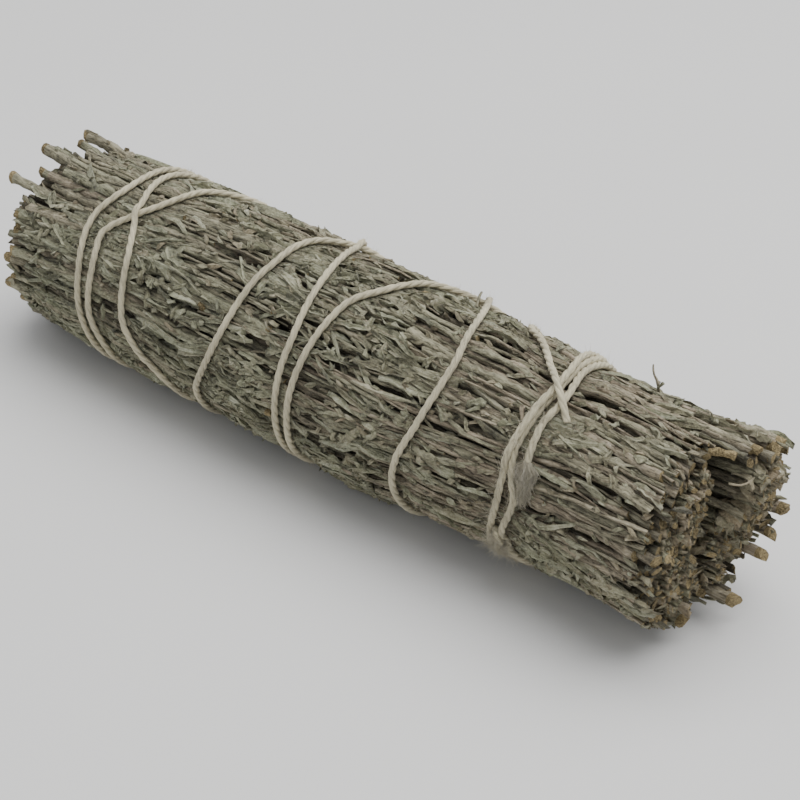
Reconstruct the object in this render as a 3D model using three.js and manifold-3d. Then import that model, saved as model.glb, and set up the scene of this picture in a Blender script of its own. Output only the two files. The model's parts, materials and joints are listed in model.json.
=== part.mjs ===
// A dried sage smudge stick lying on a table: leafy sagebrush sprigs packed into a
// bundle and bound with one cotton string. Millimetres, +Z up, +X towards the neatly
// cut butt end. The origin is under the middle of the bundle, on the table.
//
// The stick is laid out in bundle coordinates: x along it, an angle round it (0 at the
// back, a quarter turn on top, half a turn at the front) and a depth below the packed
// surface. place() turns those into a point.

import * as THREE from "three";
import { mergeVertices } from "three/addons/utils/BufferGeometryUtils.js";
import Module from "manifold-3d";

const wasm = await Module();
wasm.setup();

const DEGREE = Math.PI / 180;
const TURN = 2 * Math.PI;
const { clamp, lerp } = THREE.MathUtils;

// Driving dimensions of the bundle
const BUNDLE_RADIUS = 21.8; // packed sprigs at mid length, without the string
const BUTT_THINNING = 2.8; // the radius shrinks by this much towards the butt end,
const BUTT_THINNING_X = 5; // from here
const BUTT_THINNING_LENGTH = 75; // over this length
const RAGGED_THINNING = 1.3; // and by this much at the ragged end
const RAGGED_THINNING_X = -60;
const RAGGED_THINNING_LENGTH = 24;
const FLAT_SHARE = 0.965; // the underside is squashed flat at this share of the radius
const RAGGED_TIP_X = -97; // the longest stem at the ragged end
const RAGGED_BODY_X = -82; // the leafy mass ends here, and bare stems go on
const FRONT_BODY_X = 87; // at the butt end the front clump is shorter
const REAR_BODY_X = 92; // than the rear clump
const BUTT_TIP_X = 97; // the longest stem at the butt end
const FLARE = 0.06; // how far the ragged end spreads, as a share of the radius
const FLARE_X = -76; // the spreading starts here
const FLARE_LENGTH = 20;
const CLEFT = 2.2; // how far each clump of the butt end moves from the other
const CLEFT_X = 66; // the clumps start to part here
const CLEFT_LENGTH = 30;
const SEED = 20261;

// Layers of sprigs, by depth below the packed surface. The stations are where the
// walls between them bend.
const OUTER = {
  name: "sprig_outer",
  count: 16,
  top: -3,
  bottom: 3.9,
  stations: [-88, -74, -60, -36, -12, 12, 36, 60, 72, 84, 98],
  corners: [[1, 0], [-1, 0], [-1, 1], [1, 1]],
};
const INNER = {
  name: "stems_inner",
  count: 6,
  top: 4.2,
  bottom: 11.4,
  stations: [-88, -74, -60, 0, 60, 72, 84, 98],
  corners: [[1, 0], [0, 0], [-1, 0], [-1, 1], [0, 1], [1, 1]],
};
const CORE = { ...INNER, name: "stems_core", count: 4, top: 12, bottom: 18.4 };
const LANE_GAP = 0.4; // clearance between two neighbouring sprigs
const RAGGED_SAG_X = -64; // past the last strand the underside sags onto the table
const RAGGED_SAG_LENGTH = 12; // over this length
const MIDDLE_SAG_X = 15.5; // and so it does between two strands near the middle
const MIDDLE_SAG_REACH = 10;
const SAG_FADE = 1.8; // and the sag dies out over this depth, above the inner layer

// Driving dimensions of the string
const STRING_RADIUS = 0.8;
const STRING_DEPTH = -0.1; // its centre runs just outside the packed surface
const STRING_SIDES = 5;
const STRING_CLEARANCE = 0.34; // left between the string and the sprigs
const CROSSING = 1.3; // distance between the centres of two strands that cross
const STRING_RISE = 0.1; // the string passes this far above the table

// The string lifts the flat underside off the table by this much.
const SAG = (STRING_RADIUS + STRING_RISE) / FLAT_SHARE - STRING_DEPTH;
const AXIS_HEIGHT = (BUNDLE_RADIUS + SAG) * FLAT_SHARE;

// Colours and finishes
const LEAFY_GREEN = { color: 0x8f937c, roughness: 0.95, metalness: 0 };
const WOODY_GREY = { color: 0x948a78, roughness: 0.95, metalness: 0 };
const STRING_CREAM = { color: 0xcbc3b0, roughness: 0.9, metalness: 0 };

// Random numbers that are the same on every run
function seededRandom(seed) {
  let state = seed >>> 0;
  return (low, high) => {
    state = (state + 0x6d2b79f5) >>> 0;
    let t = state;
    t = Math.imul(t ^ (t >>> 15), t | 1);
    t ^= t + Math.imul(t ^ (t >>> 7), t | 61);
    return low + ((high - low) * ((t ^ (t >>> 14)) >>> 0)) / 4294967296;
  };
}

function smooth(t) {
  const c = clamp(t, 0, 1);
  return c * c * (3 - 2 * c);
}

// The packed bundle's shape

function bundleRadius(x) {
  const butt = BUTT_THINNING * smooth((x - BUTT_THINNING_X) / BUTT_THINNING_LENGTH);
  const ragged = RAGGED_THINNING * smooth((RAGGED_THINNING_X - x) / RAGGED_THINNING_LENGTH);
  return BUNDLE_RADIUS - butt - ragged;
}

// The weight squashes the underside flat on the table.
function squash(angle) {
  const down = -Math.sin(angle);
  return down > FLAT_SHARE ? FLAT_SHARE / down : 1;
}

// 1 on the flat underside, falling to 0 up the sides
function underside(angle) {
  return smooth((-Math.sin(angle) - 0.72) / 0.24);
}

// Where no strand is near, the underside hangs down to the table: 1 where it lies on it
function hang(x, angle) {
  const ragged = smooth((RAGGED_SAG_X - x) / RAGGED_SAG_LENGTH);
  const middle = smooth((2 * (MIDDLE_SAG_REACH - Math.abs(x - MIDDLE_SAG_X))) / MIDDLE_SAG_REACH);
  return underside(angle) * Math.max(ragged, middle);
}

function flare(x, angle) {
  const upper = 0.5 + 0.5 * Math.sin(angle);
  return 1 + FLARE * smooth((FLARE_X - x) / FLARE_LENGTH) * upper;
}

function cleftShift(x, side) {
  return CLEFT * side * smooth((x - CLEFT_X) / CLEFT_LENGTH);
}

// Neighbouring sprigs wander a little round the stick together.
function wander(x, angle) {
  return angle + 0.05 * Math.sin(x / 27 + 2 * angle + 0.7) + 0.02 * Math.sin(x / 15 + 3 * angle);
}

function place(x, angle, depth, side = 0) {
  const lowest = SAG + BUNDLE_RADIUS - bundleRadius(x);
  const sag = lowest * hang(x, angle) * clamp((INNER.top - depth) / SAG_FADE, 0, 1);
  const reach = (bundleRadius(x) * flare(x, angle) + sag - depth) * squash(angle);
  return new THREE.Vector3(
    x,
    reach * Math.cos(angle) + cleftShift(x, side),
    AXIS_HEIGHT + reach * Math.sin(angle),
  );
}

// Solids and meshes

function toSolid(geometry) {
  geometry.deleteAttribute("normal");
  geometry.deleteAttribute("uv");
  const merged = mergeVertices(geometry, 1e-4);
  const corners = merged.getAttribute("position").array;
  const faces = [];
  let volume = 0;
  for (let i = 0; i < merged.index.count; i += 3) {
    const [a, b, c] = [0, 1, 2].map((k) => merged.index.getX(i + k));
    if (a === b || b === c || c === a) continue;
    faces.push(a, b, c);
    const [p, q, r] = [a, b, c].map((k) => new THREE.Vector3().fromArray(corners, 3 * k));
    volume += p.dot(q.cross(r));
  }
  if (volume < 0) faces.reverse();
  return new wasm.Manifold(
    new wasm.Mesh({
      numProp: 3,
      vertProperties: new Float32Array(corners),
      triVerts: new Uint32Array(faces),
    }),
  );
}

// Bends a cylinder, or a cone if it is pointed. pointAt gets the share of the way
// along it, a direction across its section and the number of the section's corner,
// which are 0, 0 and -1 on the centreline.
function bent(sides, steps, pointed, pointAt) {
  const geometry = pointed
    ? new THREE.ConeGeometry(1, 1, sides, steps)
    : new THREE.CylinderGeometry(1, 1, 1, sides, steps);
  const position = geometry.getAttribute("position");
  for (let i = 0; i < position.count; i++) {
    const along = position.getY(i) + 0.5;
    const [u, v] = [position.getX(i), position.getZ(i)];
    const corner = (Math.round((Math.atan2(u, v) / TURN) * sides) + sides) % sides;
    const angle = (corner / sides) * TURN;
    const centred = Math.hypot(u, v) < 1e-6;
    const p = centred
      ? pointAt(along, 0, 0, -1)
      : pointAt(along, Math.sin(angle), Math.cos(angle), corner);
    position.setXYZ(i, p.x, p.y, p.z);
  }
  return toSolid(geometry);
}

function toGeometry(solid) {
  const { numProp, vertProperties, triVerts } = solid.getMesh();
  const corners = [];
  for (let i = 0; i < vertProperties.length; i += numProp) {
    corners.push(vertProperties[i], vertProperties[i + 1], vertProperties[i + 2]);
  }
  const geometry = new THREE.BufferGeometry();
  geometry.setAttribute("position", new THREE.Float32BufferAttribute(corners, 3));
  geometry.setIndex(Array.from(triVerts));
  geometry.computeVertexNormals();
  return geometry;
}

// Cutting leaves slivers and loose scraps, which are dropped.
const SLIVER = 0.06;

function mainPiece(solid) {
  const pieces = solid.simplify(SLIVER).decompose();
  return pieces.reduce((a, b) => (a.volume() > b.volume() ? a : b));
}

// The string's route, in x and degrees round the stick. The first ring starts at its
// frayed end and runs to the knot. The spiral leaves the knot, makes two more rings,
// winds to the ragged end and back, and is tucked in beside the rings.
const FIRST_RING = [
  [60.5, 152], [60.1, 142], [59.8, 134], [59.6, 126], [60.1, 117], [60.1, 107], [59.2, 97],
  [57.8, 84], [56.9, 68], [55.8, 50], [54.6, 20], [54.8, -20], [55.4, -60], [55.7, -90],
  [55.8, -120], [55.9, -135], [56, -151],
];
const SPIRAL = [
  [56.2, 209], [57, 225], [57.9, 240], [58.2, 270], [57.2, 300], [54.6, 340], [53.2, 370],
  [53.4, 390], [54.4, 408], [55.6, 424], [56.1, 436], [56.8, 447], [57.4, 459], [57.8, 470], [57.5, 479],
  [57.4, 488], [57.2, 497], [57.1, 504], [57.4, 511], [58.4, 521], [59.6, 530], [59.2, 539],
  [57.6, 550], [56.1, 562], [54.8, 576], [54, 592], [53.8, 612], [54, 640], [53.6, 670],
  [52.6, 700], [51.6, 730], [52.6, 760], [54.4, 785], [55.4, 797], [56.6, 808], [57.4, 819], [57.8, 830],
  [57.4, 839], [57.3, 848], [57, 857], [56.8, 864], [56.5, 872], [56.4, 882], [56, 897],
  [54.4, 915], [52.8, 932], [51.6, 960], [50.4, 990], [46, 1040], [38, 1080], [29, 1112],
  [21.6, 1136], [15.9, 1152], [14, 1165], [11.9, 1178], [8.6, 1192], [7.5, 1205], [6.4, 1222],
  [5.3, 1240], [4.4, 1254], [3.5, 1270], [1.6, 1296], [0.2, 1350], [0, 1390], [-2.4, 1412],
  [-4, 1440], [-6.4, 1485], [-9.7, 1509], [-12.3, 1520], [-13.2, 1533], [-13.2, 1550],
  [-13.9, 1561], [-14.5, 1574], [-15.3, 1587], [-16.7, 1600], [-19.4, 1617], [-22.4, 1631],
  [-24.6, 1642], [-29, 1710], [-31, 1740], [-34, 1800], [-39, 1852], [-42.8, 1869],
  [-45.7, 1881], [-47.1, 1897], [-48.9, 1908], [-50.9, 1915], [-53, 1922], [-55.8, 1930],
  [-57.2, 1937], [-56.6, 1947], [-56.1, 1959], [-56.2, 1974], [-56.2, 1985], [-55.4, 1995],
  [-54.6, 2005], [-55, 2030], [-56, 2070], [-57, 2100], [-59.6, 2130], [-61, 2160],
  [-61.4, 2200], [-60.9, 2236], [-60, 2252], [-59.9, 2265], [-60.8, 2276], [-61.8, 2286],
  [-61.8, 2297], [-61, 2308], [-60.1, 2320], [-59.7, 2333], [-59.5, 2346], [-59.2, 2359],
  [-59.6, 2390], [-60.4, 2430], [-60, 2460], [-57.8, 2490], [-56.2, 2520], [-56.4, 2560],
  [-57.2, 2600], [-55.2, 2619], [-53, 2631], [-50.6, 2643], [-47.7, 2659], [-46.3, 2674],
  [-45.6, 2688], [-45, 2699], [-43.4, 2707], [-41.1, 2716], [-38.4, 2722], [-35.6, 2734],
  [-34.4, 2770], [-34, 2810], [-30, 2845], [-21, 2880], [-12, 2916], [-5.8, 2949],
  [-2.1, 2974], [0.1, 2996], [1.6, 3022], [1.3, 3038], [0.8, 3056], [0.2, 3070], [-1.6, 3100],
  [-2.6, 3150], [-2.4, 3180], [1.2, 3204], [10, 3238], [19, 3270], [27, 3299], [32, 3322],
  [34.9, 3342], [36.9, 3358], [37.1, 3373], [36.7, 3382], [35.4, 3398], [33.9, 3408],
  [32.4, 3418], [30.8, 3434], [30.1, 3451], [30.4, 3510], [31.6, 3560], [33.4, 3600],
  [36, 3640], [38.8, 3661], [43.4, 3670], [47.6, 3680], [52.2, 3692], [56.6, 3703],
  [60.2, 3711], [62, 3716], [63.2, 3720],
];
const KNOT = { x: 55.6, angle: 205, length: 4.6, width: 8, height: 3 };
const FRAY = { x: 60.6, angle: 151, length: 9.5, spread: 2.1, drift: 1.2 };
const TUCK_LENGTH = 4; // the spiral's last end dives in among the sprigs
const TUCK_DEPTH = 0.9;
const FINE_STEP = 1; // how finely the route is worked out
const LONG_STRIDE = 7; // a plain stretch of tube has a section only this often
const SHORT_STRIDE = 4; // and one that climbs over another strand this often
const RAMP = 0.45; // how steeply a strand climbs over another
const RAMP_REACH = 6;
const OWN_LENGTH = 30; // a strand doesn't climb over the stretch that it just left
const STRETCH = 12; // sections in a stretch of tube that is too short to meet itself

function fineRoute(points) {
  const unrolled = points.map(
    ([x, degrees]) => new THREE.Vector3(x, degrees * DEGREE * BUNDLE_RADIUS, 0),
  );
  const curve = new THREE.CatmullRomCurve3(unrolled, false, "centripetal");
  curve.arcLengthDivisions = 20 * points.length;
  const length = curve.getLength();
  const count = Math.round(length / FINE_STEP);
  return curve.getSpacedPoints(count).map((p, i) => ({
    along: (i * length) / count,
    x: p.x,
    angle: p.y / BUNDLE_RADIUS,
    lift: 0,
  }));
}

// Distance between two places on the bundle's unrolled surface
function apart(a, b) {
  const turns = (a.angle - b.angle) / TURN;
  return Math.hypot(a.x - b.x, (turns - Math.round(turns)) * TURN * BUNDLE_RADIUS);
}

// A strand climbs over those wound before it, and comes down again on a ramp.
function climb(route, earlier) {
  const crossed = route.map((here, i) => {
    const wound = [...earlier, ...route.slice(0, Math.max(0, i - OWN_LENGTH))];
    return wound.filter((under) => apart(here, under) < CROSSING);
  });
  for (let round = 0; round < 2; round++) {
    route.forEach((here, i) => {
      for (const under of crossed[i]) {
        const rise = Math.sqrt(CROSSING ** 2 - apart(here, under) ** 2);
        here.lift = Math.max(here.lift, under.lift + rise);
      }
    });
    const raised = route.map((here) => here.lift);
    route.forEach((here, i) => {
      for (let k = -RAMP_REACH; k <= RAMP_REACH; k++) {
        const near = raised[i + k] ?? 0;
        here.lift = Math.max(here.lift, near - RAMP * FINE_STEP * Math.abs(k));
      }
    });
  }
  return route;
}

// The sections that a strand's tube needs, each with the directions across it
function sections(route, tuckDepth) {
  const picked = [];
  const last = route.length - 1;
  for (let i = 0; i < last; ) {
    picked.push(i);
    const ahead = route.slice(Math.max(0, i - SHORT_STRIDE), i + LONG_STRIDE + SHORT_STRIDE);
    const fine = ahead.some((here) => here.lift > 0.05) || last - i < 2 * LONG_STRIDE;
    i += fine ? SHORT_STRIDE : LONG_STRIDE;
  }
  picked.push(last);
  const centres = picked.map((k) => {
    const { along, x, angle, lift } = route[k];
    const tuck = tuckDepth * smooth(1 - (route[last].along - along) / TUCK_LENGTH);
    return place(x, angle, STRING_DEPTH - lift + tuck);
  });
  return picked.map((k, j) => {
    const before = centres[Math.max(0, j - 1)];
    const after = centres[Math.min(centres.length - 1, j + 1)];
    const tangent = after.clone().sub(before).normalize();
    const outward = new THREE.Vector3(0, Math.cos(route[k].angle), Math.sin(route[k].angle));
    const across = tangent.clone().cross(outward).normalize();
    return { centre: centres[j], across, out: across.clone().cross(tangent) };
  });
}

function tube(strand, radius) {
  let solid = null;
  for (let start = 0; start < strand.length - 1; start += STRETCH) {
    const part = strand.slice(start, start + STRETCH + 1);
    const stretch = bent(STRING_SIDES, part.length - 1, false, (along, u, v) => {
      const { centre, across, out } = part[Math.round(along * (part.length - 1))];
      return centre.clone().addScaledVector(across, radius * u).addScaledVector(out, radius * v);
    });
    solid = solid ? solid.add(stretch) : stretch;
  }
  return solid;
}

function knot(grow) {
  const lump = new THREE.SphereGeometry(1, 8, 6);
  const position = lump.getAttribute("position");
  for (let i = 0; i < position.count; i++) {
    const [u, v, w] = [position.getX(i), position.getY(i), position.getZ(i)];
    const angle = KNOT.angle * DEGREE + (v * (KNOT.width / 2 + grow)) / BUNDLE_RADIUS;
    const x = KNOT.x + u * (KNOT.length / 2 + grow);
    const p = place(x, angle, STRING_DEPTH - w * (KNOT.height / 2 + grow));
    position.setXYZ(i, p.x, p.y, p.z);
  }
  return toSolid(lump);
}

// The frayed end opens into a flat tuft.
function frayedEnd(grow) {
  return bent(STRING_SIDES, 4, false, (along, u, v) => {
    const angle = FRAY.angle * DEGREE + ((along - 0.1) * FRAY.length) / BUNDLE_RADIUS;
    const width = lerp(STRING_RADIUS, FRAY.spread, Math.sin(2.4 * along)) + grow;
    const thickness = STRING_RADIUS * (1.05 - 0.35 * along) + grow;
    const x = FRAY.x + FRAY.drift * along + u * width;
    return place(x, angle, STRING_DEPTH + 0.2 - v * thickness);
  });
}

const firstRing = fineRoute(FIRST_RING);
const spiral = climb(fineRoute(SPIRAL), firstRing.slice(0, -OWN_LENGTH / 3));
const strands = [...firstRing, ...spiral];

function stringSolid(grow) {
  return tube(sections(firstRing, 0), STRING_RADIUS + grow)
    .add(tube(sections(spiral, TUCK_DEPTH), STRING_RADIUS + grow))
    .add(knot(grow))
    .add(frayedEnd(grow));
}

// Sprigs

const STEM_DEPTH = 2.35; // the sprigs' stems lie this deep, just under the string
const STEM_STEP = 26; // a stem bends this often
const LONGEST_STEMS = 60; // the ragged end's longest stems are at this angle
const TAPER_LENGTH = 40; // it thickens over this length towards the ragged end
const BRANCH_ASIDE = 2.45; // a branch leaves its stem and lies this far beside it
const BRANCH_LENGTH = 20; // once it has gone this far
const LEAF_ASIDE = 2.2; // and so does a leaf
const LEAF_SPACING = 28;
const LEAF_THICKNESS = 0.96;

function laneOf(layer, i) {
  const halfAngle = Math.PI / layer.count;
  const angle = Math.PI / 2 + (2 * i + 1) * halfAngle;
  const side = Math.sign(Math.cos(angle));
  return { layer, angle, halfAngle, side, bodyEnd: side > 0 ? REAR_BODY_X : FRONT_BODY_X };
}

// A point of a sprig: across is measured round the bundle from the middle of its lane.
function inLane(lane, x, across, depth) {
  const angle = wander(x, lane.angle) + across / (bundleRadius(x) - depth);
  return place(x, angle, depth, lane.side);
}

// The wedge of the bundle between the two walls of a lane and two depths
function wedge(lane, from, to) {
  const { stations, corners, top, bottom } = lane.layer;
  const xs = [from, ...stations.filter((x) => x > from + 1 && x < to - 1), to];
  return bent(corners.length, xs.length - 1, false, (along, u, v, corner) => {
    const x = xs[Math.round(along * (xs.length - 1))];
    const [side, low] = corner < 0 ? [0, 0.5] : corners[corner];
    const depth = lerp(top, bottom, low);
    const gap = (side * LANE_GAP) / 2 / (bundleRadius(x) - depth);
    return place(x, wander(x, lane.angle + side * lane.halfAngle) - gap, depth, lane.side);
  });
}

// A stem between two cut ends. It may leave another stem at branchX.
function stem(lane, from, to, shape) {
  const { across = 0, aside = 0, branchX = 0, depth, radius, taper = 1, sides = 5 } = shape;
  const steps = Math.max(1, Math.round(Math.abs(to - from) / STEM_STEP));
  return bent(sides, steps, false, (along, u, v) => {
    const x = lerp(from, to, along);
    const r = radius * lerp(taper, 1, smooth((x - RAGGED_BODY_X) / TAPER_LENGTH));
    const middle = across + aside * smooth(Math.abs(x - branchX) / BRANCH_LENGTH);
    const hanging = lane.layer === OUTER ? hang(x, lane.angle) : 0;
    const low = lerp(depth, Math.min(depth, radius / 2), hanging);
    return inLane(lane, x, middle + r * u, low - r * v);
  });
}

// A narrow leaf whose root is in the stem and whose blade lies beside it
function leaf(lane, root, { heading, length, width, aside, depth, turn }) {
  return bent(4, 3, true, (along, u, v) => {
    const x = root + heading * length * along;
    const parted = smooth(3 * along);
    const lying = lerp(depth, LEAF_THICKNESS / 3, hang(x, lane.angle));
    const halfWidth = (width / 2) * (0.6 + 0.4 * Math.sin(Math.PI * along));
    const [p, q] = [halfWidth * u, (LEAF_THICKNESS / 2) * v];
    const turned = turn * parted;
    const across = aside * parted + p * Math.cos(turned) - q * Math.sin(turned);
    const out = p * Math.sin(turned) + q * Math.cos(turned);
    return inLane(lane, x, across, lerp(STEM_DEPTH, lying, parted) - out);
  });
}

const table = toSolid(new THREE.BoxGeometry(300, 80, 10).translate(0, 0, -5));
const stringRoom = stringSolid(STRING_CLEARANCE);

// Each sprig has a main stem from end to end, a branch to each end, one on either
// side of it, and leaves where there is no branch.
function outerSprig(i) {
  const random = seededRandom(SEED + i);
  const lane = laneOf(OUTER, i);
  const longer = 1 + 0.25 * Math.cos(lane.angle - LONGEST_STEMS * DEGREE);
  const raggedTip = () => RAGGED_BODY_X - longer * random(4, 11);
  const buttTip = () => lane.bodyEnd + random(-1, 2);
  const main = { depth: STEM_DEPTH, radius: random(1.1, 1.3), taper: 1.35 };
  let sprig = stem(lane, raggedTip(), buttTip(), main);
  const first = random(0, 1) < 0.5 ? -1 : 1;
  const forks = [
    { side: first, branchX: random(5, 45), tip: buttTip(), leavesTo: RAGGED_BODY_X - 4 },
    { side: -first, branchX: random(-45, -5), tip: raggedTip(), leavesTo: lane.bodyEnd },
  ];
  for (const { side, branchX, tip, leavesTo } of forks) {
    const branch = {
      aside: side * BRANCH_ASIDE,
      branchX,
      depth: STEM_DEPTH,
      radius: random(0.85, 1),
      sides: 4,
    };
    sprig = sprig.add(stem(lane, branchX, tip, branch));
    const count = Math.round(Math.abs(leavesTo - branchX) / LEAF_SPACING);
    const slot = (leavesTo - branchX) / count;
    for (let k = 0; k < count; k++) {
      const heading = random(0, 1) < 0.7 ? Math.sign(slot) : -Math.sign(slot);
      const length = Math.abs(slot) * random(0.85, 0.98);
      const middle = branchX + slot * (k + 0.5);
      const shape = {
        heading,
        length,
        width: random(2.3, 2.8),
        aside: side * LEAF_ASIDE,
        depth: random(1.3, 1.9),
        turn: random(-0.4, 0.4),
      };
      sprig = sprig.add(leaf(lane, middle - (heading * length) / 2, shape));
    }
  }
  const cell = wedge(lane, RAGGED_TIP_X - 1, BUTT_TIP_X + 1);
  return mainPiece(sprig.intersect(cell).subtract(stringRoom).subtract(table));
}

// An inner bunch is hidden along the stick, and shows its cut stems at the two ends.
// They stand out of a core, which stops short of the leafy mass.
function innerBunch(layer, i, rows) {
  const random = seededRandom(SEED + 100 * layer.count + i);
  const lane = laneOf(layer, i);
  const bodyStart = RAGGED_BODY_X + random(2, 6);
  const bodyEnd = lane.bodyEnd - random(6, 10);
  let bunch = wedge(lane, bodyStart, bodyEnd);
  const longest = layer === INNER && i === layer.count - 1;
  for (const { depth, ragged, butt } of rows) {
    const room = (BUNDLE_RADIUS - depth) * lane.halfAngle;
    const across = (k, count) => room * ((2 * (k + random(0.4, 0.6))) / count - 1) * 0.9;
    for (let k = 0; k < ragged; k++) {
      const shape = { across: across(k, ragged), depth, radius: random(1, 1.25) };
      const tip = longest && k === 0 ? 1 : random(0.2, 0.9);
      const from = lerp(RAGGED_BODY_X, RAGGED_TIP_X, tip);
      bunch = bunch.add(stem(lane, from, bodyStart + 3, shape));
    }
    for (let k = 0; k < butt; k++) {
      const shape = { across: across(k, butt), depth, radius: random(0.95, 1.3) };
      const tip = longest && k === 0 ? 1 : random(0, 0.9);
      const to = lane.bodyEnd + tip * (BUTT_TIP_X - REAR_BODY_X);
      bunch = bunch.add(stem(lane, bodyEnd - 3, to, shape));
    }
  }
  return mainPiece(bunch.intersect(wedge(lane, RAGGED_TIP_X - 1, BUTT_TIP_X + 1)));
}

const INNER_ROWS = [{ depth: 6, ragged: 2, butt: 3 }, { depth: 9.4, ragged: 1, butt: 2 }];
const CORE_ROWS = [{ depth: 13.6, ragged: 1, butt: 2 }, { depth: 16.3, ragged: 1, butt: 1 }];

const stick = new THREE.Group();

function addMesh(name, solid, finish) {
  const mesh = new THREE.Mesh(toGeometry(solid), new THREE.MeshStandardMaterial(finish));
  mesh.name = name;
  stick.add(mesh);
}

function numbered(layer, i) {
  return `${layer.name}_${String(i + 1).padStart(2, "0")}`;
}

for (let i = 0; i < OUTER.count; i++) {
  addMesh(numbered(OUTER, i), outerSprig(i), LEAFY_GREEN);
}
for (let i = 0; i < INNER.count; i++) {
  addMesh(numbered(INNER, i), innerBunch(INNER, i, INNER_ROWS), WOODY_GREY);
}
for (let i = 0; i < CORE.count; i++) {
  addMesh(numbered(CORE, i), innerBunch(CORE, i, CORE_ROWS), WOODY_GREY);
}
addMesh("string", mainPiece(stringSolid(0)), STRING_CREAM);

export default stick;
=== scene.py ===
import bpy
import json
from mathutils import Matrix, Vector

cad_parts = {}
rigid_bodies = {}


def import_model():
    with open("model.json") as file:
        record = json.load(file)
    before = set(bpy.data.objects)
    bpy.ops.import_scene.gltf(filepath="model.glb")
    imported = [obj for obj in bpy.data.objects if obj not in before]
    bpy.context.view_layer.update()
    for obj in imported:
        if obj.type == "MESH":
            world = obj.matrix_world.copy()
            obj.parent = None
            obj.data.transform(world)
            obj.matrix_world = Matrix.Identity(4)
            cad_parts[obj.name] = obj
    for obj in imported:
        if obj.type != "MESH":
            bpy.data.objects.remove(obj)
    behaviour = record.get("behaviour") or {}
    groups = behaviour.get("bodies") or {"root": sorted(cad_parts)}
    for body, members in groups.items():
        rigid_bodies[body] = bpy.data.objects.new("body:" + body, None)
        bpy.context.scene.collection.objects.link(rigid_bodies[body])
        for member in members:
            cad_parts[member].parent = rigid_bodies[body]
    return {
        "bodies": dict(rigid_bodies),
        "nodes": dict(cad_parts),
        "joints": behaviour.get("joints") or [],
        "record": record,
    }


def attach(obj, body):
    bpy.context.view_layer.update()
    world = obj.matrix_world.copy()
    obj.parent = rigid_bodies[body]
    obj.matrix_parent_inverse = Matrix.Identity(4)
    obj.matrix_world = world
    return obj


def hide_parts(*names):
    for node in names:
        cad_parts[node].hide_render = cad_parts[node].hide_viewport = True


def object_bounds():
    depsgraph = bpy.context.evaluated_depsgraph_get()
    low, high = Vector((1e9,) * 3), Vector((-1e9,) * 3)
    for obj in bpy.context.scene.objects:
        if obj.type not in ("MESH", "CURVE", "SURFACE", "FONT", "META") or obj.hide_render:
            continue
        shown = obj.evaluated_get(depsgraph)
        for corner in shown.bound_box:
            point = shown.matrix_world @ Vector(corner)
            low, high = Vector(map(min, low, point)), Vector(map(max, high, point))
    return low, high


bl_info = {
    "name": "Sage Smudge Stick",
    "version": (1, 0, 0),
    "blender": (4, 5, 0),
    "location": "3D View > Sidebar > Smudge Stick",
    "description": "Dresses the packed smudge stick with leafy sprigs, cut stems and cotton string",
    "category": "Object",
}

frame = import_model()

import json
import math
import random

import bmesh
import bpy
from mathutils import Matrix, Vector, kdtree, noise

MM = 0.001
TURN = math.tau

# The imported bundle, in metres. The stick is laid out in bundle coordinates: x along it,
# an angle round it (0 at the back, a quarter turn on top, half a turn at the front) and
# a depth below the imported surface. place() turns those into a point.
CAD_LOW, CAD_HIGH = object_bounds()
RAGGED_TIP_X = CAD_LOW.x
BUTT_TIP_X = CAD_HIGH.x
BUNDLE_RADIUS = 21.8 * MM
BUTT_THINNING = 2.8 * MM
BUTT_THINNING_X = 5 * MM
BUTT_THINNING_LENGTH = 75 * MM
RAGGED_THINNING = 1.3 * MM
RAGGED_THINNING_X = -60 * MM
RAGGED_THINNING_LENGTH = 24 * MM
FLAT_SHARE = 0.965
FLARE = 0.06
FLARE_X = -76 * MM
FLARE_LENGTH = 20 * MM
CLEFT = 2.2 * MM
CLEFT_X = 66 * MM
CLEFT_LENGTH = 30 * MM
RAGGED_SAG_X = -64 * MM
RAGGED_SAG_LENGTH = 12 * MM
MIDDLE_SAG_X = 15.5 * MM
MIDDLE_SAG_REACH = 10 * MM
SAG_FADE = 1.8 * MM
OUTER_COUNT = 16
INNER_COUNT = 6
CORE_COUNT = 4
INNER_TOP = 4.2 * MM
UNDERSIDE_FROM = 0.72
UNDERSIDE_FADE = 0.24
SLOW_WANDER, SLOW_WANDER_LENGTH = 0.05, 27 * MM
QUICK_WANDER, QUICK_WANDER_LENGTH = 0.02, 15 * MM
RAGGED_DOME, RAGGED_DOME_LIMIT = 1.2, 8 * MM
BUTT_DOME, BUTT_DOME_DEPTH = 2.6 * MM, 19 * MM
BUTT_HOLLOW, BUTT_HOLLOW_FROM, BUTT_HOLLOW_FADE = 3 * MM, 11 * MM, 7 * MM
LEAST_RADIUS = 0.5 * MM
TABLE_GAP = 0.02 * MM
SEED = 20261

# Where the sprigs at the surface end, as degrees round the stick and x in millimetres.
# At the butt end the rear clump, up to a quarter turn, is longer than the front one.
RAGGED_ENDS = [
    (-90, -87.5), (0, -86), (45, -84.5), (60, -81), (105, -80.5), (120, -79.5), (135, -80.5),
    (180, -81.5), (210, -82.5), (240, -86), (270, -87.5),
]
BUTT_ENDS = [
    (-90, 86), (-40, 86), (0, 89), (30, 90), (45, 92), (60, 93.5), (75, 95), (88, 94.5),
    (92, 87), (120, 88), (200, 88.5), (230, 87), (270, 86),
]
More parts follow.
